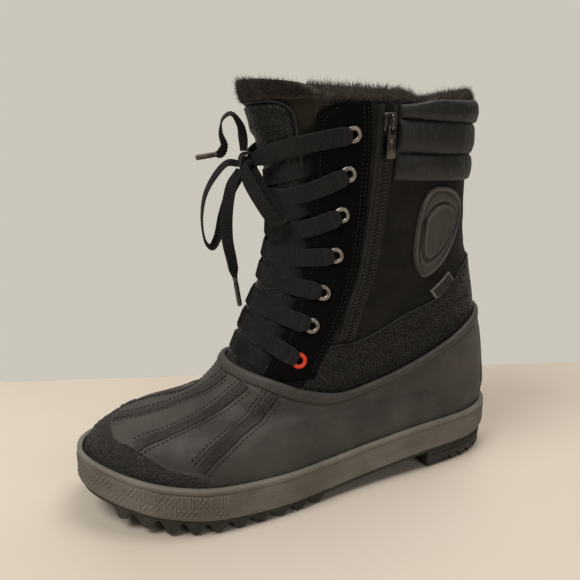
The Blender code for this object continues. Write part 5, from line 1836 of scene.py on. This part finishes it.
def build_zip():
    """The zip: two twill tapes and a chain of moulded teeth, closed up to its slider."""
    heights = np.linspace(ZIP_FOOT, 242, 120)
    middle = read(ZIP, "x", heights)
    tape = Shape()
    for low, high in ((-6.4, -2.9), (2.9, 5.4)):
        x = middle[:, None] + (low + (high - low) * fine_ends(9, 0.5))[None]
        z = heights[:, None] + 0 * x
        outer = side_point(x, z, 0.55 + 0.1 * noise(side_point(x, z), 5.0, 131))
        tape.slab(outer, side_point(x, z, np.full(x.shape, -0.2)))
    tape.piece("zip_tapes", "zip_tape")
    chain = Shape()
    x = middle[:, None] + 3.1 * (fine_ends(5, 0.3) * 2 - 1)[None]
    bed = heights[:, None] + 0 * x
    keep = heights < SLIDER_Z - 4
    chain.slab(side_point(x, bed, 0.8)[keep], side_point(x, bed, 0.1)[keep])
    count = int((SLIDER_Z - 6.5 - ZIP_FOOT) / COIL_PITCH)
    z = ZIP_FOOT + np.arange(count) * COIL_PITCH
    x = read(ZIP, "x", z)
    sign = np.where(np.arange(count) % 2, 1.0, -1.0)
    places = side_point(x + sign * 0.95, z, 1.15)
    out = unit(side_point(x, z, 2.0) - side_point(x, z, 1.0))
    ahead = unit(side_point(x + 1.0, z, 1.0) - side_point(x - 1.0, z, 1.0))
    slant = unit(ahead + UPRIGHT * (0.28 * sign)[:, None])
    sizes = np.tile([4.6, 0.78, 2.2], (count, 1))
    axes = np.stack([slant, unit(np.cross(out, slant)), out], 1)
    chain.copies(*bead(), places, axes, sizes)
    middle, heights = middle[:106], heights[:106]
    for shift in (-3.3, 3.3):
        edge = raised(lambda off: side_point(middle + shift, heights, off), 0.75)
        round_cord(chain, *edge, 8, 0.42, 0.4)
    chain.piece("zip_coil", "zip_plastic", replaces=["zip_chain"])


def slider_frame():
    """Origin and axes of the slider, upright on the outer side at the head of the zip."""
    x = read(ZIP, "x", SLIDER_Z)
    origin = side_point(x, SLIDER_Z, GAP + 0.6)
    out = unit((side_point(x, SLIDER_Z, 10.0) - origin) * (1, 1, 0))
    return origin, np.stack([np.cross(UPRIGHT, out), UPRIGHT, out])


def outline_plate(shape, origin, axes, outline, levels, hole=None):
    """A plate with an outline in u and v, its edge given as (inset, n) levels."""
    outline = np.asarray(outline, float)
    ahead = np.roll(outline, -1, 0) - np.roll(outline, 1, 0)
    inward = unit(stacked(-ahead[:, 1], ahead[:, 0]))
    rings = [(outline + inward * inset, n) for inset, n in levels]
    if hole is not None:
        rings += [(np.array(hole), levels[-1][1]), (np.array(hole), levels[0][1])]
    flats = [np.concatenate([flat, np.full((len(flat), 1), n)], 1) for flat, n in rings]
    places = np.array([origin + flat @ axes for flat in flats])
    index = shape.grid(places, wrap=True, wrap_rows=hole is not None)
    if hole is None:
        shape.cap_rings(index[0], index[-1])


def round_box(half_u, half_v, corner, middle_v=0.0, each=7):
    """A rectangle with round corners, anticlockwise."""
    points = []
    for quarter, (su, sv) in enumerate(((1, 1), (-1, 1), (-1, -1), (1, -1))):
        for t in np.linspace(0, math.pi / 2, each):
            angle = quarter * math.pi / 2 + t
            u = su * (half_u - corner) + math.cos(angle) * corner
            v = sv * (half_v - corner) + math.sin(angle) * corner
            points.append((u, v + middle_v))
    return np.array(points)


def build_slider():
    """The zip's slider: a waisted body with a crown over its pull's pivot."""
    origin, axes = slider_frame()
    shape = Shape()
    body = round_box(4.1, 5.4, 1.9)
    body[:, 0] *= 1 - 0.16 * soft((body[:, 1] + 1) / -5.0)
    low, top = SLIDER_SEAT, SLIDER_SEAT + SLIDER_BODY
    levels = [(0.4, low), (0.0, low + 0.3), (0.0, low + 0.8), (0.35, low + 1.1)]
    levels += [(0.35, low + 1.4), (0.0, low + 1.7), (0.0, top - 0.35), (0.35, top)]
    outline_plate(shape, origin, axes, body, levels)
    arch = [(-3.9, -0.4), (-4.4, 1.4), (-3.4, 2.75), (-1.0, 3.1), (1.6, 3.0), (3.4, 2.2)]
    arch += [(4.2, 0.6), (4.3, -0.4)]
    path = origin + smooth_route([(0, v, top + n) for v, n in arch], 0.45) @ axes
    side = np.broadcast_to(axes[0], path.shape)
    face = np.cross(unit(np.gradient(path, axis=0)), side)
    half = [(-0.85, -0.3), (-0.6, -0.45), (0.6, -0.45), (0.85, -0.3)]
    sweep(shape, path, side, face, half + [(-across, -out) for across, out in half])
    shape.piece("slider_body", "dark_nickel", replaces=["zip_slider"], sharp=45)


def build_pull():
    """The zip's pull: a waisted plate with a slot, a raised panel and its pivot bar."""
    origin, axes = slider_frame()
    pull = Shape()
    head, foot = PIVOT_V + 0.6, PIVOT_V - PULL_LENGTH
    middle, half = (head + foot) / 2, (head - foot) / 2
    outline = round_box(3.1, half, 1.5, middle)
    outline[:, 0] *= 1 - 0.22 * soft((outline[:, 1] - middle) / half * 1.2)
    low, high = PIVOT_N - 0.6, PIVOT_N + 0.6
    levels = [(0.3, low), (0.0, low + 0.25), (0.0, high - 0.25), (0.3, high)]
    slot = round_box(1.5, 2.0, 0.9, PIVOT_V - 2.7)
    outline_plate(pull, origin, axes, outline, levels, slot)
    levels = [(0.0, high - 0.2), (0.0, high + 0.12), (0.25, high + 0.3)]
    outline_plate(pull, origin, axes, round_box(1.9, 4.4, 0.9, middle - 2.4, 6), levels)
    bar = stacked(np.linspace(-1.6, 1.6, 12), np.full(12, PIVOT_V), np.full(12, PIVOT_N))
    round_cord(pull, origin + bar @ axes, axes[2], 12, 0.6, 0.6)
    pull.piece("pull_tab", "dark_nickel", "pull", ["zip_pull"], sharp=45)


BADGE = table(
    "v left right",
    (-31, -1.5, 1.5), (-27, -6.5, 6), (-20, -11.5, 10.5), (-10, -15.5, 14.5), (2, -18.5, 17.5),
    (12, -19.5, 18.5), (20, -18, 17), (25, -13.5, 13), (28, -5, 5),
)
BADGE_FOOT, BADGE_HEAD = -31, 28
BADGE_LIE = (math.radians(-20), (76.0, 166.0))
SHIELD = (
    (-12.2, -1.6), (-12.6, 4.4), (-9.4, 12), (-2, 17.2), (6.4, 17), (11, 13.8), (11.2, 5),
    (8.2, -6), (3, -14.8), (-2.2, -19), (-8, -12.6), (-12.2, -1.6),
)
LABEL_LIE = (math.radians(38), (82.3, 129.8))
LABEL_HALF = (9.5, 3.9)


def flat_to_side(u, v, centre):
    """Lays a flat distance out from `centre` round the boot's side."""
    x = centre[0] + 0 * u
    z = centre[1] + v
    steps = 12
    for _ in range(steps):
        here = bare_point(turn_at(x, z), z)
        there = bare_point(turn_at(x + 0.5, z), z)
        x = x + u / steps / (np.linalg.norm(there - here, axis=-1) / 0.5)
    return x, z


def patch_point(u, v, lie, out):
    """A point over the boot's outer side, from flat coordinates; lie is their turn and centre."""
    turned, centre = lie
    cos, sin = math.cos(turned), math.sin(turned)
    x, z = flat_to_side(u * cos - v * sin, u * sin + v * cos, centre)
    return side_point(x, z, out + 0 * u)


def badge_relief(flat, gap, inner):
    """Height of the badge by the distance in from its edge and from its inner shield's edge."""
    relief = 1.9 * cap(gap, 1.3, 2)
    relief += 0.55 * hump((gap - 1.2) / 0.75) - 0.25 * soft((gap - 1.8) / 1.2)
    relief -= 0.3 * hump((gap - 3.2) / 0.5)
    bed = soft((inner + 2.6) / 0.9) * (1 - soft((inner + 0.2) / 0.5))
    relief -= 1.15 * bed
    relief += (0.5 + 0.35 * soft((-flat[..., 0] + 4) / 14)) * soft((inner + 0.1) / 0.9)
    relief -= 0.35 * soft((inner - 1.6) / 0.5)
    return relief + 0.05 * noise(flat, 3.0, 141), bed


def build_badge():
    """The rubber shield badge: beaded edge, stitched border, a raised blank shield in its bed, the bed
    painted darker as painted shade.
    """
    v = BADGE_FOOT + (BADGE_HEAD - BADGE_FOOT) * fine_ends(92, 0.6)[:, None]
    left, right = read(BADGE, "left", v), read(BADGE, "right", v)
    u = left + (right - left) * fine_ends(76, 0.55)[None]
    v = v + 0 * u
    flat = stacked(u, v)
    levels = np.linspace(BADGE_FOOT, BADGE_HEAD, 240)
    edge = [(float(read(BADGE, "left", q)), q) for q in levels]
    edge += [(float(read(BADGE, "right", q)), q) for q in levels[::-1]]
    edge = evenly(np.array(edge + edge[:1]), 1.6)
    shield = smooth_route(SHIELD, 1.5)
    inner = from_line(flat, shield)[0]
    inner = np.where(inside_of(flat, shield[:-1]), inner, -inner)
    relief, bed = badge_relief(flat, from_line(flat, edge)[0], inner)
    shape = Shape().slab(patch_point(u, v, BADGE_LIE, 0.5 + relief), patch_point(u, v, BADGE_LIE, 0))
    # The recessed bed takes the darker rubber: painted shade.
    shape.slots[0] = (bed[:-1, :-1] > 0.4).ravel().astype(int)
    shape.piece("badge", ["badge_rubber", "badge_bed_shade"], replaces=["badge_shield"], sharp=55)
    threads = Shape()
    centre = np.array([-0.3, 1.5])
    line = evenly(centre + (edge - centre) * 0.84, 0.8)
    places, out = raised(lambda off: patch_point(*line.T, BADGE_LIE, off), 2.3)
    stitch_row(threads, places, out, 2.6, 1.8, 0.5, sink=0.12)
    threads.piece("badge_stitches", "black_thread")


def build_label():
    """The small woven label on the quarter's lower edge, left blank."""
    long, short = LABEL_HALF
    u = (long * (fine_ends(60, 0.3) * 2 - 1))[None]
    v = (short * (fine_ends(28, 0.3) * 2 - 1))[:, None]
    u, v = u + 0 * v, v + 0 * u
    bow = 0.5 * hump(u / 6.0) + 0.12 * noise(stacked(u, v), 4.0, 151)
    full = rolled(patch_point(u, v, LABEL_LIE, 0.0), 0.5)
    outer = patch_point(u, v, LABEL_LIE, 0.5 + 0.7 * full + bow)
    label = Shape().slab(outer, patch_point(u, v, LABEL_LIE, 0.1 + 0.4 * bow))
    label.piece("woven_label", "label_weave", replaces=["side_label"])


# Laces --------------------------------

# Heights on the ridge of the upper and the lower strand of each crossing, and at the throat's edge.
LACING = table(
    "row over under edge",
    (1, 109, 109, 105.5), (2, 123, 124, 123), (3, 140, 141, 143), (4, 154, 155, 163.5),
    (5, 168, 176.5, 184), (6, 189, 200, 207.5),
)
BAR_EDGE_Z = 87.5
BAR_RIDGE_Z = 94.5
LACE_WIDE = 11.0
KNOT = (-37.3, 0.0, 209.0)
RIB_STEP = 0.34
WEB_THICK = 0.22

ROUTES = {
    "lace_loop_near": (
        (-40.8, -2.3, 207.9), (-41.5, -5.6, 204.5), (-39.5, -11.1, 196), (-36, -17.9, 186.5),
        (-31.5, -22, 178), (-27.5, -22.5, 173.5), (-24, -19.5, 173.5), (-25.5, -14.5, 179),
        (-28.5, -8.5, 186), (-33, -5.5, 196), (-37, -3, 204),
    ),
    "lace_loop_far": (
        (-41.9, 4.1, 208.2), (-48, 10, 208), (-55, 15, 199), (-60, 18, 188), (-62, 19.5, 174),
        (-60.5, 20, 160), (-56, 20.5, 154.5), (-51.5, 21, 161), (-48.5, 19, 175),
        (-44.5, 14, 190), (-39.5, 7.5, 202),
    ),
    "lace_end_up": (
        (-39.5, 0.3, 215.7), (-39.8, 1, 224), (-41, 2, 231), (-46, 3, 237.5), (-51.5, 4, 234),
        (-52.5, 4.5, 226), (-50.5, 4.5, 219), (-53, 4, 214.5), (-57.5, 3.5, 213.5),
    ),
    "lace_end_down": (
        (-42.3, 0.4, 204.6), (-47.5, 1, 195), (-50.5, 1.5, 180), (-51, 1, 163), (-48.5, 0, 148),
        (-47, -1, 137),
    ),
}
# For each free run: the way its flat face looks at the knot, its twist in degrees, its width.
TURNED = {
    "lace_loop_near": ((-0.85, -0.5, 0.1), 20.0, 9.8),
    "lace_loop_far": ((-0.9, 0.2, 0.3), 70.0, 6.6),
    "lace_end_up": ((-0.2, -0.9, 0.1), 160.0, 6.6),
    "lace_end_down": ((-0.7, -0.6, 0.2), -75.0, 7.4),
}


def flat_profile(half, thick, edge=2, inner=3):
    """A flat band's outline with round edges: half its width, and its thickness."""
    turn = np.linspace(-math.pi / 2, math.pi / 2, edge + 1)
    right = stacked(half - thick / 2 + np.cos(turn) * thick / 2, np.sin(turn) * thick / 2)
    middle = np.linspace(0.7, -0.7, inner)[:, None] * [[half, 0]] + [[0, thick / 2]]
    return np.vstack([right, middle, -right, middle[::-1] * [[1, -1]]])


def carried_face(path, start, twist):
    """Face vectors carried along a path without turning, then twisted evenly by `twist` degrees."""
    tangent = unit(np.gradient(path, axis=0))
    faces = [np.asarray(start, float)]
    for ahead in tangent:
        face = faces[-1] - ahead * (faces[-1] @ ahead)
        faces.append(face / max(np.linalg.norm(face), 1e-9))
    faces = np.array(faces[1:])
    run = np.linspace(0, math.radians(twist), len(path))[:, None]
    return faces * np.cos(run) + np.cross(tangent, faces) * np.sin(run)


def lace_height(ends, ridge, y):
    """Height of a run of lace at y: a curve through its two ends and its place on the ridge."""
    (y0, z0), (y1, z1) = ends
    first = z0 * y * (y - y1) / (y0 * (y0 - y1))
    middle = ridge * (y - y0) * (y - y1) / (y0 * y1)
    last = z1 * y * (y - y0) / (y1 * (y1 - y0))
    return first + middle + last


def webbing(shape, path, side, face, wide, thick=1.15):
    """A ribbed flat lace along a path of points RIB_STEP apart."""
    wave = 1 + 0.4 * np.cos(TAU * run_along(path) / 1.35)
    half = np.broadcast_to(wide, (len(path),)) / 2
    sweep(shape, path, side, face, flat_profile(1.0, WEB_THICK), half, thick / WEB_THICK * wave)


def side_of(y):
    return "lateral" if y < 0 else "medial"


def signed(turn):
    """An angle round the last, counted from the front ridge with the outer side positive."""
    return np.mod(turn + math.pi, TAU) - math.pi


def eyelet_spot(row, sign):
    """The angle and the height of an eyelet."""
    x, z = eyelet_at(row)
    return float(signed(turn_at(x, z, side_of(sign)))), z


def spot_at(y, z):
    return float(signed(front_turn(y, z))), z


def run_over(spots, ridge, last=None):
    """Angles and heights of a lace from spot to spot over the ridge, RIB_STEP apart."""
    turn = np.linspace(spots[0][0], spots[1][0] if last is None else last, 160)
    level = lace_height(spots, ridge, turn)
    places = surface(np.mod(turn, TAU), level, 1.0)
    turn = evenly(np.column_stack([places, turn]), RIB_STEP)[:, 3]
    return turn, lace_height(spots, ridge, turn)


def lay_lace(shape, turn, z, out, wide):
    """Webbing along the boot at the given distances off the form."""
    path, normal = raised(lambda off: surface(np.mod(turn, TAU), z, off), out)
    webbing(shape, path, *frames_along(path, normal), wide)


def at_eyelet(gap):
    """Lift and width of a lace by its distance from an eyelet's middle, over the ring's edge."""
    lift = 2.2 + 1.2 * soft((7.5 - gap) / 2.5) - 4.2 * soft((2.4 - gap) / 2.4)
    return lift, 7.4 + 3.6 * soft((gap + 0.5) / 7.0)


def strap(shape, ends, ridge, lift=0.0):
    """One run over the throat. Each end is (side, height, eyelet's row), the row None at an edge."""
    spots = []
    for sign, z_end, row in ends:
        half = sign * (float(throat_half(z_end)) - 0.4)
        spots.append(spot_at(half, z_end) if row is None else eyelet_spot(row, sign))
    turn, z = run_over(spots, ridge)
    bare = bare_point(np.mod(turn, TAU), z)
    across = np.abs(bare[:, 1])
    out = 0.9 + lift * (1 - soft((across - 5.0) / 7.0))
    beyond = soft((across - throat_half(z) + 5.0) / 5.0)
    wide = np.full(len(turn), LACE_WIDE)
    for (sign, z_end, row), spot in zip(ends, spots):
        same = np.sign(turn) == np.sign(spot[0])
        if row is None:
            out = out - 3.4 * soft((across - float(throat_half(z_end)) + 7.4) / 7.0) * same
            continue
        gap = np.where(same, np.linalg.norm(bare - eyelet_place(row, side_of(sign)), axis=-1), 99)
        high, narrow = at_eyelet(gap)
        share = np.where(same, beyond, 0.0)
        out = out * (1 - share) + high * share
        wide = np.minimum(wide, narrow)
    lay_lace(shape, turn, z, out, wide)


def build_crossings():
    """The lace through the eyelets: a bar at its foot, six crossings and the pair below the bow."""
    shape = Shape()
    strap(shape, ((-1, BAR_EDGE_Z, None), (1, BAR_EDGE_Z, None)), BAR_RIDGE_Z)
    shape.piece("lace_foot_bar", "black_lace", replaces=["lace_bar"])
    for row in range(len(LACING["row"])):
        over_z, under_z, edge_z = (float(LACING[key][row]) for key in ("over", "under", "edge"))
        z = eyelet_at(row)[1]
        shape = Shape()
        strap(shape, ((-1, z, row), (1, edge_z, None)), over_z, 1.25)
        strap(shape, ((-1, edge_z, None), (1, z, row)), under_z)
        shape.piece(f"lace_row_{row + 1}", "black_lace", replaces=[f"lace_cross_{row + 1}"])
    shape = Shape()
    top = len(LACING["row"])
    for sign in (-1, 1):
        spots = (eyelet_spot(top, sign), spot_at(-sign * 4.0, KNOT[2] + 2.0))
        turn, level = run_over(spots, KNOT[2] + 3.0, spot_at(-sign * 2.0, KNOT[2] + 2.0)[0])
        bare = bare_point(np.mod(turn, TAU), level)
        gap = np.linalg.norm(bare - eyelet_place(top, side_of(sign)), axis=-1)
        high, wide = at_eyelet(gap)
        across = np.abs(bare[:, 1])
        out = high + 6.4 * soft((20 - across) / 19.0) * soft((gap - 6) / 6)
        lay_lace(shape, turn, level, out, np.minimum(wide, 6.6 + 4.4 * soft(across / 10)))
    shape.piece("lace_row_7", "black_lace", replaces=["lace_top"])


def build_knot():
    """The knot: the lace drawn tight round the middle of the bow, with a crossing turn."""
    x, y, z = KNOT
    shape = Shape()
    for lean, size, shift in ((0.0, 1.0, 0.0), (0.9, 0.82, 1.2)):
        turn = np.linspace(-0.6, TAU + 0.6, 96)
        path = stacked(np.cos(turn) * 4.6, 0.5 * lean * np.sin(turn) * 4, np.sin(turn) * 5.4)
        path = path * size + [x - 0.4 * shift, y + 0.8 * np.sign(lean) * shift, z + shift]
        path[:, 1] += np.linspace(-1.5, 1.5, len(path))
        path = evenly(path, RIB_STEP)
        out = unit((path - [x, y, z]) * (1, 0, 1))
        webbing(shape, path, *frames_along(path, out), 6.4 * size, 1.3)
    along = stacked(np.full(9, x), np.linspace(y - 3.4, y + 3.4, 9), np.full(9, z))
    swell = np.sqrt(np.clip(1 - np.linspace(-0.96, 0.96, 9) ** 2, 0, 1))
    round_cord(shape, along, (1, 0, 0), 12, 3.9, 4.6, swell)
    shape.piece("bow_knot", "black_lace", replaces=["lace_knot"])


def build_aglet(name, tip, along, face):
    """The metal tag on a lace's end."""
    steps = np.arange(20)
    reach = 13.0 if "up" in name else 19.0
    tube = tip - along * 1.6 + along * np.linspace(0, reach, 20)[:, None]
    grip = 1 - 0.14 * hump((steps - 3) / 0.9) - 0.3 * (steps == 19)
    tag = Shape()
    round_cord(tag, tube, face, 14, 1.65, 1.45, grip)
    node = name.replace("end", "aglet")
    return tag.piece(node.replace("lace_", ""), "dark_nickel", replaces=[node])


def build_bow():
    """The bow's two loops and two ends, each a free run of the flat lace."""
    build_knot()
    for name, route in ROUTES.items():
        start, twist, wide = TURNED[name]
        loose = "end" in name
        path = smooth_route(route, RIB_STEP)
        face = carried_face(path, start, twist)
        run = np.linspace(0, 1, len(path))
        gather = wide * (0.72 + 0.28 * soft(run * 6))
        if loose:
            gather = gather * (1 - 0.55 * soft((run - 0.9) / 0.1))
        shape = Shape()
        webbing(shape, path, np.cross(face, unit(np.gradient(path, axis=0))), face, gather, 1.1)
        piece = shape.piece(name.replace("lace", "bow"), "black_lace", replaces=[name])
        extra = []
        if loose:
            extra = [build_aglet(name, path[-1], unit(path[-1] - path[-12]), face[-1])]


# Stage and camera ---------------------

CAMERA_PLACE = (-0.156, -0.354, 0.218)
CAMERA_TURN = math.radians(-22.5)
CAMERA_DIP = math.radians(12.5)
SENSOR_WIDTH = 36.0
LENS = SENSOR_WIDTH * 30 / 29
LENS_SHIFT = -1 / 58
FLOOR = ((-3.4, 1.21), (-0.2055, 0.2449), (0.3492, 0.0768), (3.2, -0.787), (3.2, -3.2), (-3.4, -3.2))
LIGHT_TARGET = (0.0, 0.0, 0.1)
# Name, place, size, power and colour.
LIGHTS = (
    ("window", (-1.0, -0.3, 1.5), 0.9, 17.0, (1.0, 0.95, 0.89)),
    ("ceiling", (0.5, 0.0, 1.9), 1.2, 16.5, (1.0, 0.94, 0.87)),
    ("fill", (0.4, -1.7, 0.9), 0.9, 4.6, (1.0, 0.96, 0.92)),
)
# The room is bright towards WALL_SIDE and dim elsewhere.
WALL_SIDE = (0.38, 0.92, 0.05)
ROOM_BRIGHT = (0.6, 0.565, 0.497)
ROOM_DIM = (0.07, 0.067, 0.061)


def build_camera():
    turn, dip = CAMERA_TURN, CAMERA_DIP
    ahead = Vector((-math.sin(turn) * math.cos(dip), math.cos(turn) * math.cos(dip), -math.sin(dip)))
    right = Vector((math.cos(turn), math.sin(turn), 0))
    data = bpy.data.cameras.new("camera")
    data.sensor_width = SENSOR_WIDTH
    data.lens = LENS
    data.shift_y = LENS_SHIFT
    data.clip_start = 0.01
    data.dof.use_dof = False
    camera = bpy.data.objects.new("camera", data)
    bpy.context.scene.collection.objects.link(camera)
    turned = Matrix((right, right.cross(ahead), -ahead)).transposed().to_4x4()
    camera.matrix_world = Matrix.Translation(CAMERA_PLACE) @ turned
    bpy.context.scene.camera = camera


def soft_light(name, place, size, power, colour):
    data = bpy.data.lights.new(name, "AREA")
    data.shape = "DISK"
    data.size = size
    data.energy = power
    data.color = colour
    light = bpy.data.objects.new(name, data)
    bpy.context.scene.collection.objects.link(light)
    light.location = place
    towards = Vector(place) - Vector(LIGHT_TARGET)
    light.rotation_euler = towards.to_track_quat("Z", "Y").to_euler()


def build_stage(strength):
    """The pale floor, the pale surroundings and three soft lights."""
    scene = bpy.context.scene
    scene.view_settings.view_transform = "Standard"
    scene.view_settings.look = "None"
    world = bpy.data.worlds.new("studio")
    world.use_nodes = True
    scene.world = world
    work = Tree(world.node_tree)
    back = world.node_tree.nodes["Background"]
    look = work.node("TexCoord").outputs["Generated"]
    towards = work.node("VectorMath", {0: look, 1: WALL_SIDE}, operation="DOT_PRODUCT")
    wall = work.span(towards.outputs["Value"], 0.35, 0.75)
    work.feed(back.inputs["Color"], work.blend(wall, ROOM_DIM, ROOM_BRIGHT))
    back.inputs["Strength"].default_value = 1.0
    mesh = bpy.data.meshes.new("floor")
    mesh.from_pydata([(x, y, 0.0) for x, y in FLOOR], [], [tuple(range(len(FLOOR)))])
    mesh.materials.append(FINISHES["studio_floor"])
    floor = bpy.data.objects.new("floor", mesh)
    scene.collection.objects.link(floor)
    for name, place, size, power, colour in LIGHTS:
        soft_light(name, place, size, power * strength, colour)


# Settings, operators and panel --------


def colour_setting(name, about, value):
    return FloatVectorProperty(
        name=name, description=about, subtype="COLOR", size=3, min=0.0, max=1.0, default=value
    )


class BootSizes(bpy.types.PropertyGroup):
    """Sizes of the fine detail."""

    rib: FloatProperty(
        name="Strip rib",
        description="Pitch of the ribs on the toe's moulded strips",
        default=0.00135,
        unit="LENGTH",
    )
    fibres: IntProperty(
        name="Fleece fibres", description="How many fibres stand on the cuff", default=20000
    )
    lining_fibres: IntProperty(
        name="Lining fibres", description="How many fibres stand on the lining", default=4500
    )
    light: FloatProperty(name="Light", description="Strength of the soft lights", default=1.0)


class BootColours(bpy.types.PropertyGroup):
    """Colours of the boot's finishes."""

    shell: colour_setting("Shell", "Rubber shell", (0.05, 0.0475, 0.044))
    band: colour_setting("Band", "Grey rubber band", (0.165, 0.155, 0.132))
    outsole: colour_setting("Outsole", "Black outsole", (0.023, 0.0215, 0.0185))
    dust: colour_setting("Dust", "Dust on the rubber", (0.13, 0.118, 0.1))
    cloth: colour_setting("Cloth", "Quarter cloth", (0.0095, 0.009, 0.0085))
    satin: colour_setting("Satin", "Quilted collar", (0.0055, 0.0051, 0.0047))
    leather: colour_setting("Leather", "Pebbled leather", (0.0055, 0.0053, 0.005))
    suede: colour_setting("Suede", "Eyestays", (0.0024, 0.0023, 0.0022))
    fleece: colour_setting("Fleece", "Lining and cuff", (0.058, 0.05, 0.043))
    lace: colour_setting("Lace", "Flat laces", (0.011, 0.011, 0.0112))
    metal: colour_setting("Metal", "Eyelets", (0.28, 0.255, 0.23))
    enamel: colour_setting("Enamel", "Lowest eyelets", (0.85, 0.06, 0.015))
    badge: colour_setting("Badge", "Rubber badge", (0.04, 0.036, 0.032))


class FinishesOperator(bpy.types.Operator):
    """Makes the shared effects and every finish"""

    bl_idname = "boot.finishes"
    bl_label = "Finishes"

    def execute(self, context):
        all_finishes(context.scene.boot_colours)
        return {"FINISHED"}


class StageOperator(bpy.types.Operator):
    """Makes the camera, the floor and the lights"""

    bl_idname = "boot.stage"
    bl_label = "Stage"

    def execute(self, context):
        build_camera()
        build_stage(context.scene.boot_sizes.light)
        return {"FINISHED"}


class SoleOperator(bpy.types.Operator):
    """Makes the outsole and the grey band"""

    bl_idname = "boot.sole"
    bl_label = "Sole"

    def execute(self, context):
        build_outsole()
        build_heel_lines()
        build_band()
        return {"FINISHED"}


class ShellOperator(bpy.types.Operator):
    """Makes the rubber shell with its ribbed strips"""

    bl_idname = "boot.shell"
    bl_label = "Shell"

    def execute(self, context):
        build_shell()
        build_strips(context.scene.boot_sizes.rib / MM)
        return {"FINISHED"}


class UpperOperator(bpy.types.Operator):
    """Makes the shaft, its lining and the footbed"""

    bl_idname = "boot.upper"
    bl_label = "Upper"

    def execute(self, context):
        build_upper()
        build_footbed()
        build_lining_pile(context.scene.boot_sizes.lining_fibres)
        return {"FINISHED"}


class LeatherOperator(bpy.types.Operator):
    """Makes the eyestays, the leather quarter and the throat's foot"""

    bl_idname = "boot.leather"
    bl_label = "Leather"

    def execute(self, context):
        build_eyestay("lateral")
        build_eyestay("medial")
        build_quarter()
        build_vamp_leather()
        return {"FINISHED"}


class TongueOperator(bpy.types.Operator):
    """Makes the tongue"""

    bl_idname = "boot.tongue"
    bl_label = "Tongue"

    def execute(self, context):
        build_tongue()
        return {"FINISHED"}


class CollarOperator(bpy.types.Operator):
    """Makes the quilted collar and the fleece cuff"""

    bl_idname = "boot.collar"
    bl_label = "Collar"

    def execute(self, context):
        build_collar()
        build_cuff(context.scene.boot_sizes.fibres)
        return {"FINISHED"}


class FittingsOperator(bpy.types.Operator):
    """Makes the eyelets, the zip, the badge and the label"""

    bl_idname = "boot.fittings"
    bl_label = "Fittings"

    def execute(self, context):
        build_eyelets()
        build_zip()
        build_slider()
        build_pull()
        build_badge()
        build_label()
        return {"FINISHED"}


class LacesOperator(bpy.types.Operator):
    """Makes the crossed laces and the bow"""

    bl_idname = "boot.laces"
    bl_label = "Laces"

    def execute(self, context):
        build_crossings()
        build_bow()
        return {"FINISHED"}


OPERATORS = (
    FinishesOperator,
    StageOperator,
    SoleOperator,
    ShellOperator,
    UpperOperator,
    LeatherOperator,
    TongueOperator,
    CollarOperator,
    FittingsOperator,
    LacesOperator,
)


class BootPanel(bpy.types.Panel):
    """Lists the boot's settings and its pieces"""

    bl_idname = "VIEW3D_PT_boot"
    bl_label = "Duck boot"
    bl_space_type = "VIEW_3D"
    bl_region_type = "UI"
    bl_category = "Boot"

    def draw(self, context):
        for group in (context.scene.boot_sizes, context.scene.boot_colours):
            box = self.layout.box()
            for name in group.__annotations__:
                box.prop(group, name)
        for operator in OPERATORS:
            self.layout.operator(operator.bl_idname)


CLASSES = (BootSizes, BootColours, *OPERATORS, BootPanel)


def register():
    for cls in CLASSES:
        bpy.utils.register_class(cls)
    bpy.types.Scene.boot_sizes = PointerProperty(type=BootSizes)
    bpy.types.Scene.boot_colours = PointerProperty(type=BootColours)


def unregister():
    del bpy.types.Scene.boot_colours
    del bpy.types.Scene.boot_sizes
    for cls in reversed(CLASSES):
        bpy.utils.unregister_class(cls)


def plain(box):
    return [[float(value) for value in corner] for corner in box]


def main():
    register()
    for operator in OPERATORS:
        group, name = operator.bl_idname.split(".")
        getattr(getattr(bpy.ops, group), name)()


if __name__ == "__main__":
    main()
